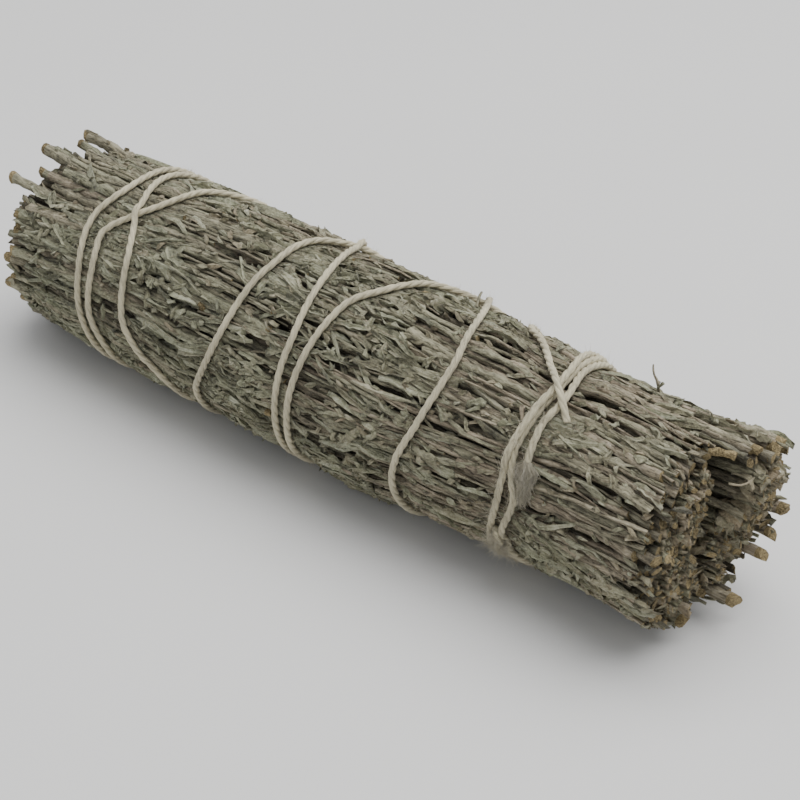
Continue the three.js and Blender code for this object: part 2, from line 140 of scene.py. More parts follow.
# Single stems stand out past the others: degrees round the stick, tip x and depth in
# millimetres, and radius in millimetres.
LONE_STEMS = [
    (125, -91.5, 1.6, 1.15), (100, -90.5, 1.5, 1.45), (94, -89, 2.6, 1.5), (55, -95.5, 1.6, 1.5),
    (145, -85, 1.3, 1.3), (160, -84.5, 2.2, 1.2), (171, -84.5, 1.2, 1.4), (200, -87.5, 1.3, 1.6),
    (56, 94.5, 1.5, 1.4), (72, 96, 2.2, 1.3), (5, 90.5, 1.2, 1.1), (330, 91.5, 1.4, 1.3),
    (276, 93, 3.2, 1.5), (312, 92, 3.0, 1.2),
    (112, -86.5, 2.4, 1.2), (134, -86, 3.4, 1.1), (152, -83.5, 1.0, 0.9), (183, -86.5, 2.2, 1.2),
    (192, -84.5, 0.8, 0.9), (212, -85.5, 1.6, 1.2), (222, -87.5, 2.6, 1.3), (80, -87, 1.4, 1.2),
    (30, -90, 1.6, 1.3), (350, -90.5, 1.4, 1.4), (310, -90, 1.8, 1.2), (262, -90.5, 2.6, 1.3),
    (40, 93.5, 1.2, 1.3), (350, 92.5, 1.8, 1.5), (255, 89.5, 2.4, 1.3), (84, 95.5, 1.0, 1.0),
]

# The string
STRING_RADIUS = 0.8 * MM
STRING_DEPTH = -0.1 * MM
STRING_RISE = 0.1 * MM
CROSSING = 1.3 * MM
SAG = (STRING_RADIUS + STRING_RISE) / FLAT_SHARE - STRING_DEPTH
AXIS_HEIGHT = (BUNDLE_RADIUS + SAG) * FLAT_SHARE

# What the string holds down lies this deep under it, and bulges out beside it.
PRESSED = 0.75 * MM
BULGE = 0.3 * MM
PRESS_REACH = 5.5 * MM
STRING_GAP = 0.2 * MM
ROUGHNESS = 0.45 * MM
ROUGHNESS_LENGTH = 9 * MM

# The string's route, as x in millimetres and degrees round the stick. The first ring
# starts at its frayed end and runs to the knot. The spiral leaves the knot, makes two
# more rings, winds to the ragged end and back, and is tucked in beside the rings.
FIRST_RING = [
    (60.5, 152), (60.1, 142), (59.8, 134), (59.6, 126), (60.1, 117), (60.1, 107), (59.2, 97),
    (57.8, 84), (56.9, 68), (55.8, 50), (54.6, 20), (54.8, -20), (55.4, -60), (55.7, -90),
    (55.8, -120), (55.9, -135), (56, -151),
]
SPIRAL = [
    (56.2, 209), (57, 225), (57.9, 240), (58.2, 270), (57.2, 300), (54.6, 340), (53.2, 370),
    (53.4, 390), (54.4, 408), (55.6, 424), (56.1, 436), (56.8, 447), (57.4, 459), (57.8, 470),
    (57.5, 479), (57.4, 488), (57.2, 497), (57.1, 504), (57.4, 511), (58.4, 521), (59.6, 530),
    (59.2, 539), (57.6, 550), (56.1, 562), (54.8, 576), (54, 592), (53.8, 612), (54, 640),
    (53.6, 670), (52.6, 700), (51.6, 730), (52.6, 760), (54.4, 785), (55.4, 797), (56.6, 808),
    (57.4, 819), (57.8, 830), (57.4, 839), (57.3, 848), (57, 857), (56.8, 864), (56.5, 872),
    (56.4, 882), (56, 897), (54.4, 915), (52.8, 932), (51.6, 960), (50.4, 990), (46, 1040),
    (38, 1080), (29, 1112), (21.6, 1136), (15.9, 1152), (14, 1165), (11.9, 1178), (8.6, 1192),
    (7.5, 1205), (6.4, 1222), (5.3, 1240), (4.4, 1254), (3.5, 1270), (1.6, 1296), (0.2, 1350),
    (0, 1390), (-2.4, 1412), (-4, 1440), (-6.4, 1485), (-9.7, 1509), (-12.3, 1520),
    (-13.2, 1533), (-13.2, 1550), (-13.9, 1561), (-14.5, 1574), (-15.3, 1587), (-16.7, 1600),
    (-19.4, 1617), (-22.4, 1631), (-24.6, 1642), (-29, 1710), (-31, 1740), (-34, 1800),
    (-39, 1852), (-42.8, 1869), (-45.7, 1881), (-47.1, 1897), (-48.9, 1908), (-50.9, 1915),
    (-53, 1922), (-55.8, 1930), (-57.2, 1937), (-56.6, 1947), (-56.1, 1959), (-56.2, 1974),
    (-56.2, 1985), (-55.4, 1995), (-54.6, 2005), (-55, 2030), (-56, 2070), (-57, 2100),
    (-59.6, 2130), (-61, 2160), (-61.4, 2200), (-60.9, 2236), (-60, 2252), (-59.9, 2265),
    (-60.8, 2276), (-61.8, 2286), (-61.8, 2297), (-61, 2308), (-60.1, 2320), (-59.7, 2333),
    (-59.5, 2346), (-59.2, 2359), (-59.6, 2390), (-60.4, 2430), (-60, 2460), (-57.8, 2490),
    (-56.2, 2520), (-56.4, 2560), (-57.2, 2600), (-55.2, 2619), (-53, 2631), (-50.6, 2643),
    (-47.7, 2659), (-46.3, 2674), (-45.6, 2688), (-45, 2699), (-43.4, 2707), (-41.1, 2716),
    (-38.4, 2722), (-35.6, 2734), (-34.4, 2770), (-34, 2810), (-30, 2845), (-21, 2880),
    (-12, 2916), (-5.8, 2949), (-2.1, 2974), (0.1, 2996), (1.6, 3022), (1.3, 3038), (0.8, 3056),
    (0.2, 3070), (-1.6, 3100), (-2.6, 3150), (-2.4, 3180), (1.2, 3204), (10, 3238), (19, 3270),
    (27, 3299), (32, 3322), (34.9, 3342), (36.9, 3358), (37.1, 3373), (36.7, 3382),
    (35.4, 3398), (33.9, 3408), (32.4, 3418), (30.8, 3434), (30.1, 3451), (30.4, 3510),
    (31.6, 3560), (33.4, 3600), (36, 3640), (38.8, 3661), (43.4, 3670), (47.6, 3680),
    (52.2, 3692), (56.6, 3703), (60.2, 3711), (62, 3716), (63.2, 3720),
]
KNOT_X = 55.6 * MM
KNOT_ANGLE = math.radians(205)
KNOT_LENGTH = 4.6 * MM
KNOT_WIDTH = 8 * MM
FRAY_X = 60.6 * MM
FRAY_ANGLE = math.radians(151)
FRAY_LENGTH = 9.5 * MM
FRAY_SPREAD = 2.1 * MM
FRAY_DRIFT = 1.2 * MM
TUCK_DEPTH = 0.9 * MM
TUCK_LENGTH = 4 * MM
ROUTE_STEP = 0.8 * MM
RAMP = 0.45
RAMP_REACH = 7
OWN_LENGTH = 36


def paint(red, green, blue):
    """A colour as the eye sees it, 0 to 255, as the linear values that shaders take."""
    def linear(value):
        share = value / 255
        return share / 12.92 if share <= 0.04045 else ((share + 0.055) / 1.055) ** 2.4
    return (linear(red), linear(green), linear(blue))


class SprigSettings(bpy.types.PropertyGroup):
    leaf_clusters: bpy.props.IntProperty(
        name="Leaf clusters", description="Clusters of leaves along each outer sprig",
        default=70, min=0)
    leaf_length: bpy.props.FloatProperty(
        name="Leaf length", description="Length of an average leaf",
        default=10.5 * MM, unit="LENGTH", subtype="DISTANCE")
    leaf_width: bpy.props.FloatProperty(
        name="Leaf width", description="Width of an average leaf",
        default=1.5 * MM, unit="LENGTH", subtype="DISTANCE")
    leaf_thickness: bpy.props.FloatProperty(
        name="Leaf thickness", description="Thickness of a dried leaf at its midrib",
        default=0.34 * MM, unit="LENGTH", subtype="DISTANCE")
    twigs: bpy.props.IntProperty(
        name="Twigs", description="Thin twigs near the surface of each outer sprig",
        default=30, min=0)
    stem_radius: bpy.props.FloatProperty(
        name="Stem radius", description="Radius of an average woody stem",
        default=0.85 * MM, unit="LENGTH", subtype="DISTANCE")
    leaf_colour: bpy.props.FloatVectorProperty(
        name="Leaf colour", description="The sage green of a well lit leaf",
        default=paint(163, 165, 136), subtype="COLOR", size=3, min=0, max=1)
    bark_colour: bpy.props.FloatVectorProperty(
        name="Bark colour", description="The grey brown of a woody stem",
        default=paint(171, 157, 134), subtype="COLOR", size=3, min=0, max=1)
    cut_colour: bpy.props.FloatVectorProperty(
        name="Cut wood colour", description="The tan of a cut stem",
        default=paint(164, 147, 110), subtype="COLOR", size=3, min=0, max=1)


class StringSettings(bpy.types.PropertyGroup):
    ply_pitch: bpy.props.FloatProperty(
        name="Ply pitch", description="Length of one full turn of the string's three plies",
        default=6.6 * MM, unit="LENGTH", subtype="DISTANCE")
    fuzz: bpy.props.IntProperty(
        name="Fuzz", description="Loose fibres standing out of the string",
        default=2800, min=0)
    colour: bpy.props.FloatVectorProperty(
        name="String colour", description="The cream of undyed cotton",
        default=paint(208, 199, 170), subtype="COLOR", size=3, min=0, max=1)


class StageSettings(bpy.types.PropertyGroup):
    floor_colour: bpy.props.FloatVectorProperty(
        name="Floor colour", description="The pale table top",
        default=paint(222, 221, 219), subtype="COLOR", size=3, min=0, max=1)
    light_power: bpy.props.FloatProperty(
        name="Light power", description="Power of the large soft light above",
        default=14.8, min=0)


# Bundle coordinates

def lerp(start, end, share):
    return start + (end - start) * share


def clamp(value, low=0.0, high=1.0):
    return min(max(value, low), high)


def smooth(share):
    c = clamp(share)
    return c * c * (3 - 2 * c)


def bundle_radius(x):
    butt = BUTT_THINNING * smooth((x - BUTT_THINNING_X) / BUTT_THINNING_LENGTH)
    ragged = RAGGED_THINNING * smooth((RAGGED_THINNING_X - x) / RAGGED_THINNING_LENGTH)
    return BUNDLE_RADIUS - butt - ragged


def hang(x, angle):
    """1 where no strand is near and the underside sags onto the table, and 0 elsewhere."""
    underside = smooth((-math.sin(angle) - UNDERSIDE_FROM) / UNDERSIDE_FADE)
    if underside == 0:
        return 0
    ragged = smooth((RAGGED_SAG_X - x) / RAGGED_SAG_LENGTH)
    middle = smooth(2 * (MIDDLE_SAG_REACH - abs(x - MIDDLE_SAG_X)) / MIDDLE_SAG_REACH)
    return underside * max(ragged, middle)


def wander(x, angle):
    """Neighbouring sprigs wander a little round the stick together."""
    slow = SLOW_WANDER * math.sin(x / SLOW_WANDER_LENGTH + 2 * angle + 0.7)
    quick = QUICK_WANDER * math.sin(x / QUICK_WANDER_LENGTH + 3 * angle)
    return angle + slow + quick


def place(x, angle, depth, side=0):
    """The point at x along the stick, this angle round it and this depth in it."""
    up = math.sin(angle)
    radius = bundle_radius(x)
    squash = FLAT_SHARE / -up if -up > FLAT_SHARE else 1
    flare = 1 + FLARE * smooth((FLARE_X - x) / FLARE_LENGTH) * (0.5 + 0.5 * up)
    sag = (SAG + BUNDLE_RADIUS - radius) * hang(x, angle) * clamp((INNER_TOP - depth) / SAG_FADE)
    reach = (radius * flare + sag - depth) * squash
    cleft = CLEFT * side * smooth((x - CLEFT_X) / CLEFT_LENGTH)
    return Vector((x, reach * math.cos(angle) + cleft, max(AXIS_HEIGHT + reach * up, TABLE_GAP)))


def end_near(ends, angle):
    """The x at which the sprigs at this angle end."""
    degrees = (math.degrees(angle) + 90) % 360 - 90
    for (before, x_before), (after, x_after) in zip(ends, ends[1:]):
        if degrees <= after:
            return lerp(x_before, x_after, (degrees - before) / (after - before)) * MM
    return ends[-1][1] * MM


def ragged_end(angle, depth):
    """Deeper stems stand out further."""
    further = min(RAGGED_DOME * depth, RAGGED_DOME_LIMIT)
    return max(end_near(RAGGED_ENDS, angle) - further, RAGGED_TIP_X)


def butt_end(angle, depth):
    """The butt end's face is a little domed and hollow in the middle."""
    dome = BUTT_DOME * math.sin(math.pi * clamp(depth / BUTT_DOME_DEPTH))
    hollow = BUTT_HOLLOW * smooth((depth - BUTT_HOLLOW_FROM) / BUTT_HOLLOW_FADE)
    return min(end_near(BUTT_ENDS, angle) + dome - hollow, BUTT_TIP_X)


class Lane:
    """The strip of the bundle that an outer sprig or an inner bunch takes up."""

    def __init__(self, index, count):
        self.half_angle = math.pi / count
        self.angle = math.pi / 2 + (2 * index + 1) * self.half_angle
        self.side = 1 if math.cos(self.angle) > 0 else -1

    def width(self, x, depth):
        return 2 * self.half_angle * (bundle_radius(x) - depth)

    def turn(self, x, across, depth):
        """The angle round the stick of a place this far across from the lane's middle."""
        return wander(x, self.angle) + across / max(bundle_radius(x) - depth, LEAST_RADIUS)

    def point(self, x, across, depth):
        angle = self.turn(x, across, depth)
        if string_distance(x, angle) < STRING_RADIUS + STRING_GAP:
            depth = max(depth, PRESSED)
        return place(x, angle, depth, self.side)

    def from_middle(self, degrees):
        """The angle from the lane's middle to this angle round the stick."""
        return (math.radians(degrees) - self.angle + math.pi) % TURN - math.pi

    def holds(self, degrees):
        return abs(self.from_middle(degrees)) <= self.half_angle


# The string's route

def centripetal(points, step):
    """Points a step apart on the centripetal Catmull-Rom curve through the given ones."""
    ends = [2 * points[0] - points[1], *points, 2 * points[-1] - points[-2]]
    fine = [points[0]]
    for k in range(1, len(ends) - 2):
        p0, p1, p2, p3 = ends[k - 1:k + 3]
        t1 = math.sqrt((p1 - p0).length)
        t2 = t1 + math.sqrt((p2 - p1).length)
        t3 = t2 + math.sqrt((p3 - p2).length)
        count = max(4, math.ceil((p2 - p1).length / (step / 6)))
        for j in range(1, count + 1):
            t = lerp(t1, t2, j / count)
            a = p0.lerp(p1, t / t1)
            b = p1.lerp(p2, (t - t1) / (t2 - t1))
            c = p2.lerp(p3, (t - t2) / (t3 - t2))
            ahead = b.lerp(c, (t - t1) / (t3 - t1))
            fine.append(a.lerp(b, t / t2).lerp(ahead, (t - t1) / (t2 - t1)))
    spaced = [fine[0]]
    gone = 0.0
    for before, after in zip(fine, fine[1:]):
        gone += (after - before).length
        if gone >= step:
            spaced.append(after)
            gone = 0.0
    return spaced


def unrolled_route(points):
    flat = [Vector((x * MM, math.radians(degrees) * BUNDLE_RADIUS, 0)) for x, degrees in points]
    curve = centripetal(flat, ROUTE_STEP)
    return [{"x": p.x, "angle": p.y / BUNDLE_RADIUS, "lift": 0.0} for p in curve]


def apart(a, b):
    """Distance between two places on the bundle's unrolled surface."""
    turns = (a["angle"] - b["angle"]) / TURN
    return math.hypot(a["x"] - b["x"], (turns - round(turns)) * TURN * BUNDLE_RADIUS)


def strand_tree(strands):
    """A search tree of the strands' places on the unrolled surface, which wraps round."""
    tree = kdtree.KDTree(3 * len(strands))
    for k, here in enumerate(strands):
        for turn in (-1, 0, 1):
            around = (here["angle"] % TURN + turn * TURN) * BUNDLE_RADIUS
            tree.insert((here["x"], around, 0), k)
    tree.balance()
    return tree


def climb(route, earlier):
    """A strand climbs over those wound before it, and comes down again on a ramp."""
    wound = [*earlier, *route]
    tree = strand_tree(wound)
    crossed = []
    for k, here in enumerate(route):
        near = tree.find_range((here["x"], here["angle"] % TURN * BUNDLE_RADIUS, 0), CROSSING)
        oldest = len(earlier) + k - OWN_LENGTH
        crossed.append([wound[index] for _, index, _ in near if index < max(oldest, len(earlier))])
    for _ in range(2):
        for here, unders in zip(route, crossed):
            for under in unders:
                if under is not here and apart(here, under) < CROSSING:
                    rise = math.sqrt(CROSSING ** 2 - apart(here, under) ** 2)
                    here["lift"] = max(here["lift"], under["lift"] + rise)
        raised = [here["lift"] for here in route]
        for k, here in enumerate(route):
            for reach in range(-RAMP_REACH, RAMP_REACH + 1):
                near = raised[k + reach] if 0 <= k + reach < len(route) else 0
                here["lift"] = max(here["lift"], near - RAMP * ROUTE_STEP * abs(reach))
    return route


first_ring = unrolled_route(FIRST_RING)
spiral = climb(unrolled_route(SPIRAL), first_ring[:-OWN_LENGTH // 3])
STRANDS = strand_tree(first_ring + spiral)


def string_distance(x, angle):
    return STRANDS.find((x, angle % TURN * BUNDLE_RADIUS, 0))[2]


def least_depth(x, angle):
    """Sprigs are pressed in under the string and bulge out between its strands."""
    share = smooth((string_distance(x, angle) - STRING_RADIUS) / PRESS_REACH)
    rough = noise.noise(Vector((x / ROUGHNESS_LENGTH, 5 * math.cos(angle), 5 * math.sin(angle))))
    return lerp(PRESSED, ROUGHNESS * rough - BULGE, share)


# Shapes that are repeated, each made once

LEAF, BARK, CUT = 0, 1, 2
STEM_STEPS = (3, 5, 7, 10, 14, 19, 25, 32, 40, 50, 62)
templates = {}


def kept_mesh(name, bm):
    mesh = bpy.data.meshes.new(name)
    bm.to_mesh(mesh)
    bm.free()
    templates[name] = mesh
    return mesh


def blade(columns, rows):
    """A flat strip from x -1 to 1 and y 0 to 1, with a thickness of 1 about z 0."""
    name = f"blade_{columns}_{rows}"
    if name in templates:
        return templates[name]
    bm = bmesh.new()
    bmesh.ops.create_grid(bm, x_segments=columns, y_segments=rows, size=1)
    bmesh.ops.solidify(bm, geom=bm.faces[:], thickness=1)
    middle = Matrix.Translation((0, 0.5, 0.5)) @ Matrix.Diagonal((1, 0.5, 1, 1))
    bmesh.ops.transform(bm, matrix=middle, verts=bm.verts[:])
    bmesh.ops.recalc_face_normals(bm, faces=bm.faces[:])
    for face in bm.faces:
        face.smooth = True
    for edge in bm.edges:
        edge.smooth = edge.calc_face_angle(0) < 1
    return kept_mesh(name, bm)


def rod(sides, steps, crisp=False):
    """A closed round rod of radius 1 from z 0 to 1, with rings of points along it."""
    bm = bmesh.new()
    bmesh.ops.create_cone(
        bm, cap_ends=True, segments=sides, radius1=1, radius2=1, depth=1,
        matrix=Matrix.Translation((0, 0, 0.5)))
    long_edges = [e for e in bm.edges if abs(e.verts[0].co.z - e.verts[1].co.z) > 0.5]
    for edge in long_edges:
        edge.smooth = not crisp
    bmesh.ops.subdivide_edges(bm, edges=long_edges, cuts=steps - 1)
    for face in bm.faces:
        face.smooth = True
    return bm


def bar(sides, wanted_steps, bare_tips):
    """A stem of radius 1 from z 0 to 1, with its wood set into each cut end."""
    steps = min(STEM_STEPS, key=lambda known: abs(known - wanted_steps))
    name = f"bar_{sides}_{steps}_{bare_tips}"
    if name in templates:
        return templates[name], steps
    bm = rod(sides, steps)
    caps = [f for f in bm.faces if abs(f.normal.z) > 0.5]
    rims = {e for f in caps for e in f.edges}
    for face in bm.faces:
        face.material_index = BARK
    rings = bmesh.ops.inset_individual(bm, faces=caps, thickness=0.3, depth=0)["faces"]
    for face in [*caps, *rings]:
        face.material_index = CUT
    if bare_tips:
        for face in {f for e in rims for f in e.link_faces}:
            face.material_index = CUT
    for edge in rims:
        edge.smooth = False
    return kept_mesh(name, bm), steps


def thread(steps, sides=3, crisp=False):
    """A fibre, a ply or, to be flattened, a leaf with crisp edges."""
    name = f"thread_{steps}_{sides}_{crisp}"
    if name not in templates:
        kept_mesh(name, rod(sides, steps, crisp))
    return templates[name]


def linked(name, data):
    """An object of the scene, unmoved at the origin."""
    thing = bpy.data.objects.new(name, data)
    bpy.context.scene.collection.objects.link(thing)
    return thing


def linked_mesh(name, bm, finishes):
    mesh = bpy.data.meshes.new(name)
    bm.to_mesh(mesh)
    bm.free()
    for finish in finishes:
        mesh.materials.append(finish)
    return linked(name, mesh)


class Growth:
    """Bent copies of the templates, gathered in one mesh.

    Each point keeps its tint (tone, brownness and painted shade from its depth in the bundle)
    and its place on the straight, unbent shape, which the grain of leaves and bark follows.
    """

    def __init__(self):
        self.bm = bmesh.new()
        self.tint = self.bm.verts.layers.float_color.new("tint")
        self.grain = self.bm.verts.layers.float_vector.new("grain")

    def add(self, template, bend, tint, finish=None):
        start = len(self.bm.verts)
        first_face = len(self.bm.faces)
        self.bm.from_mesh(template)
        self.bm.verts.ensure_lookup_table()
        if finish is not None:
            self.bm.faces.ensure_lookup_table()
            for face in self.bm.faces[first_face:]:
                face.material_index = finish
        for vert in self.bm.verts[start:]:
            point, grain, deep = bend(*vert.co)
            vert.co = point
            vert[self.grain] = grain
            # The tint's third channel is the painted shade for the point's depth in the bundle.
            vert[self.tint] = (tint[0], tint[1], deep, 1)

    def finish(self, name, finishes, node, slot):
        piece = linked_mesh(name, self.bm, finishes)
        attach(piece, "root")
        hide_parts(node)


# Stems and leaves

# Painted shade: the depth in the bundle where the colour starts to darken, the depth over which it
# darkens, and how near a free stem's cut end it lightens again.
SHADE_FROM = -0.6 * MM
SHADE_FADE = 3.2 * MM
END_SHADE = 14 * MM
SWAY_LENGTHS = (21 * MM, 9 * MM, 16 * MM)
KNOB_GAPS = (7, 12)
KNOB_REACH = 1.4 * MM
KNOB_KINK = 0.3 * MM
UNEVEN_LENGTH = 3.2 * MM
LUMP_LENGTH = 2.1 * MM
CAP_SLANT = 0.55
RISE_FROM = 74 * MM
RISE_LENGTH = 20 * MM


def dimmed(depth):
    """How much painted shade there is at a depth in the bundle, from 0 to 1."""
    return smooth((depth - SHADE_FROM) / SHADE_FADE)


def random_offset(rng):
    """A place of its own in the grain for each shape, so that no two look the same."""
    return Vector((rng.uniform(0, 1), rng.uniform(0, 1), rng.uniform(0, 1)))


def add_stem(growth, lane, rng, start, end, across, depth, radius, *, tint, sides=6,
             step=1.9 * MM, rough=0.42, bare_tips=False, drift=0.0, sway=0.45 * MM,
             taper=1.0, knobs=0.4, free=False, rise=0.0):
    """A woody stem between two cut ends, kinked a little at a knob every centimetre or so.

    Its knobs are returned, as x, across, depth and radius.
    """
    length = abs(end - start)
    template, steps = bar(sides, length / step, bare_tips)
    phases = [rng.uniform(0, TURN) for _ in range(4)]
    waves = [rng.uniform(0.8, 1.3) * wave for wave in SWAY_LENGTHS]
    offset = random_offset(rng)
    knob_gap = rng.uniform(*KNOB_GAPS) * MM
    knob_at = rng.uniform(0, knob_gap)
    grooves = [rng.uniform(1 - 0.65 * rough, 1 + 0.4 * rough) for _ in range(sides)]
    slants = [rng.uniform(-CAP_SLANT, CAP_SLANT) * radius for _ in range(4)]
    rings = []
    buds = []
    for k in range(steps + 1):
        share = k / steps
        x = lerp(start, end, share)
        aside = across + drift * (share - 0.5)
        aside += sway * math.sin(x / waves[0] + phases[0])
        aside += 0.3 * sway * math.sin(x / waves[1] + phases[1])
        deep = depth + 0.7 * sway * math.sin(x / waves[2] + phases[2])
        deep -= rise * smooth((abs(x) - RISE_FROM) / RISE_LENGTH)
        gone = (abs(x - start) + knob_at) / knob_gap
        aside += KNOB_KINK * (abs(gone % 2 - 1) - 0.5)
        from_knob = (gone % 1 - 0.5) * knob_gap
        swell = 1 + knobs * math.exp(-(from_knob / KNOB_REACH) ** 2)
        uneven = noise.noise(Vector((x / UNEVEN_LENGTH, 40 * phases[3], 0)))
        size = radius * lerp(1, taper, share) * swell * (1 + 0.6 * rough * uneven)
        if not free:
            deep = max(deep, least_depth(x, lane.turn(x, aside, deep)) + 0.85 * size)
        rings.append((x, aside, deep, size))
        if abs(from_knob) <= length / steps / 2:
            buds.append((x, aside, deep, size))

    def bend(u, v, along):
        k = round(along * steps)
        x, aside, deep, size = rings[k]
        turn = math.atan2(v, u)
        size *= grooves[round(turn / TURN * sides) % sides]
        lump = noise.noise(Vector((x / LUMP_LENGTH, 2 * u + 9 * phases[0], 2 * v)))
        size *= 1 + rough * lump
        turn += 0.15 * math.sin(x / waves[1])
        if k in (0, steps):
            first = 0 if k == 0 else 2
            x += slants[first] * u + slants[first + 1] * v + 0.4 * radius * lump
        reach = math.hypot(u, v)
        a, b = reach * math.cos(turn), reach * math.sin(turn)
        point = lane.point(x, aside + size * a, deep - size * b)
        grain = offset + Vector((radius * u, radius * v, along * length))
        # Painted shade: darker with depth in the bundle, so a stem's lower side is darker; free
        # stems and bare tips lighten towards their cut ends.
        dim = dimmed(deep - size * b)
        if free or bare_tips:
            dim = min(dim, clamp(min(x - start, end - x) / END_SHADE))
        return point, grain, dim

    growth.add(template, bend, tint)
    return buds


# Twigs, straws and stems with places of their own: their points as x in millimetres,
# degrees and depth in millimetres, the radius at both ends, the tone, how brown they
# are, and their finish.
STRAYS = (
    ([(69, 55, 0.8), (69, 62, -1.5), (66, 55, -2.8), (63.5, 48, -4.4)],
     0.32, 0.14, 0.35, 0.8, BARK),
    ([(69, 60, -1.2), (67.5, 54, -1.7), (66, 45, -1.9)], 0.2, 0.12, 0.4, 0.8, BARK),
    ([(69.5, 63, -1.1), (70.5, 66, -1.6), (71, 66, -2.6)], 0.22, 0.3, 0.5, 0.3, LEAF),
    ([(27, 68, 0.6), (24.8, 60, -1), (23, 53, -2)], 0.32, 0.2, 0.4, 0.4, BARK),
    ([(47, 180, -0.2), (50.5, 171, -0.9), (53.5, 161, -1.3), (56, 154, -1.2)],
     0.24, 0.2, 1.3, 0.8, BARK),
    ([(54.6, 124, -0.6), (55.4, 127, -1), (56.6, 131, -0.8)], 0.55, 0.4, 0.3, 1.4, BARK),
    ([(16, 145.5, 1.6), (21, 144.5, 1.1), (28, 143, 1), (35, 141.5, 1.7)],
     0.6, 0.5, 0.45, 0.5, BARK),
    ([(15, 141, 2.2), (24, 141.5, 1.8), (37, 139.5, 2.3)], 0.7, 0.7, 0.35, 0.3, BARK),
    ([(94.6, 106, 3.4), (96, 101, 4.1), (96.8, 95, 4.1), (96.8, 88, 3.8)],
     0.2, 0.14, 1.5, 1, LEAF),
    ([(84, 52, 2), (89.5, 54, 1.1), (92.5, 55, 0.6), (95, 55, 0.3)], 0.8, 1.2, 0.85, 1, CUT),
    ([(87, 95, 1.8), (90, 94, 0.9), (92, 93, 0.7), (93.4, 92, 0.9)], 0.5, 0.8, 0.6, 1, CUT),
)


def add_stray(growth, points, first_size, last_size, tone, browned, finish):
    places = [place(x * MM, math.radians(degrees), depth * MM) for x, degrees, depth in points]
    centres = centripetal(places, 0.6 * MM)
    frames = frames_along(centres, [outward_at(math.radians(points[0][1]))] * len(centres))
    steps = len(centres) - 1

    def bend(u, v, along):
        k = round(along * steps)
        centre, _, across, outward = frames[k]
        size = lerp(first_size, last_size, along) * MM
        size *= 1 + 0.8 * noise.noise(Vector((2 * u, 2 * v, k * 0.4 + points[0][0])))
        return centre + size * (u * across + v * outward), Vector((u, v, k)) * 0.6 * MM, 0

    growth.add(thread(steps, 7), bend, (tone, browned), finish)


def outline(v, widest, blunt):
    """Half width of a leaf along its length."""
    rising = 0.3 + 0.7 * smooth(1.4 * v / widest)
    falling = 1 - (1 - blunt) * smooth((v - widest) / (1 - widest))
    return rising * falling


# The kinds of leaf. A bud sits on a stem's knob, a narrow leaf is the usual one, a spoon
# leaf is broad with a lobed tip, and crumbs and scraps are torn bits.
BUD = {"rows": 3, "fold": 1.2, "curl": 0.2, "ripple": 0.2}
NARROW = {"fold": 1.5, "curl": 0.05, "ripple": 0.12, "twist": 0.45}
SPOON = {"rows": 6, "sides": 6, "fold": 0.5, "curl": 0.05, "ripple": 0.08,
         "widest": 0.88, "blunt": 0.85, "lobes": 0.09}
CRUMB = {"rows": 4, "fold": 1.6, "curl": 0.3, "twist": 1.3, "ripple": 0.25, "blunt": 0.8}
SCRAP = {"rows": 3, "fold": 1.8, "curl": 0.2, "twist": 1.4, "ripple": 0.25,
         "widest": 0.5, "blunt": 1.0, "free": True}


def add_leaf(growth, lane, rng, x, across, depth, toward, heading, length, width, thickness, *,
             tint, fold, curl, ripple, rows=8, sides=4, twist=0.6, widest=0.6, blunt=0.3,
             lobes=0.0, free=False):
    """A dried leaf from its root at (x, across, depth), creased, twisted and crumpled."""
    offset = random_offset(rng)
    curve = rng.gauss(0, 0.18)
    twist_start = rng.gauss(0, 0.3)
    twist_end = twist_start + rng.gauss(0, twist)
    arch = rng.uniform(-0.04, curl) * length
    tip = rng.gauss(0, curl) * length
    phase = rng.uniform(0, TURN)
    crease = rng.uniform(0.2, 1) * fold * rng.choice((-1, 1, 1))
    kink = rng.gauss(0, 0.25)
    kink_at = rng.uniform(0.3, 0.7)
    aside, along = across, x
    spine = []
    for k in range(rows + 1):
        v = k / rows
        bearing = heading + curve * (v - 0.3) + 0.1 * math.sin(5 * v + phase) + kink * (v > kink_at)
        if k:
            along += toward * math.cos(bearing) * length / rows
            aside += math.sin(bearing) * length / rows
        deep = depth - arch * math.sin(math.pi * v) - tip * v * v
        deep += ripple * width * rng.uniform(-0.6, 0.6)
        half = width / 2 * outline(v, widest, blunt)
        if not free:
            deep = max(deep, least_depth(along, lane.turn(along, aside, deep)) + 0.3 * half)
        turn = lerp(twist_start, twist_end, v)
        edges = (rng.uniform(0.7, 1.15), rng.uniform(0.7, 1.15), rng.gauss(0, 1), rng.gauss(0, 1))
        spine.append((along, aside, deep, bearing, half, math.cos(turn), math.sin(turn), edges))

    def bend(u, w, v):
        k = round(v * rows)
        along, aside, deep, bearing, half, cos_turn, sin_turn, edges = spine[k]
        right = u > 0
        out = crease * half * (u * u - 0.35) + w * thickness * (0.5 if free else 1)
        out += ripple * width * edges[2 + right] * abs(u)
        a = half * u * edges[right]
        a, out = a * cos_turn - out * sin_turn, a * sin_turn + out * cos_turn
        ahead = lobes * length * (math.cos(TURN * u) - 1) / 2 if k == rows else 0
        x = along + toward * (ahead * math.cos(bearing) - a * math.sin(bearing))
        point = lane.point(x, aside + a * math.cos(bearing) + ahead * math.sin(bearing), deep - out)
        grain = offset + Vector((u * width / 2, w * thickness, v * length))
        # Painted shade: darker with depth in the bundle; a free scrap gets a slight even shade.
        return point, grain, 0.1 if free else dimmed(deep - out)

    growth.add(thread(rows, sides, True), bend, tint)


LEAFY_LENGTH, LEAFY_ROUND = 24 * MM, 1.8
LEAST_LEAFY = 0.04
BARE_FROM, BARE_FADE = 25 * MM, 45 * MM
BROWN_FROM, BROWN_FADE = -70 * MM, 130 * MM


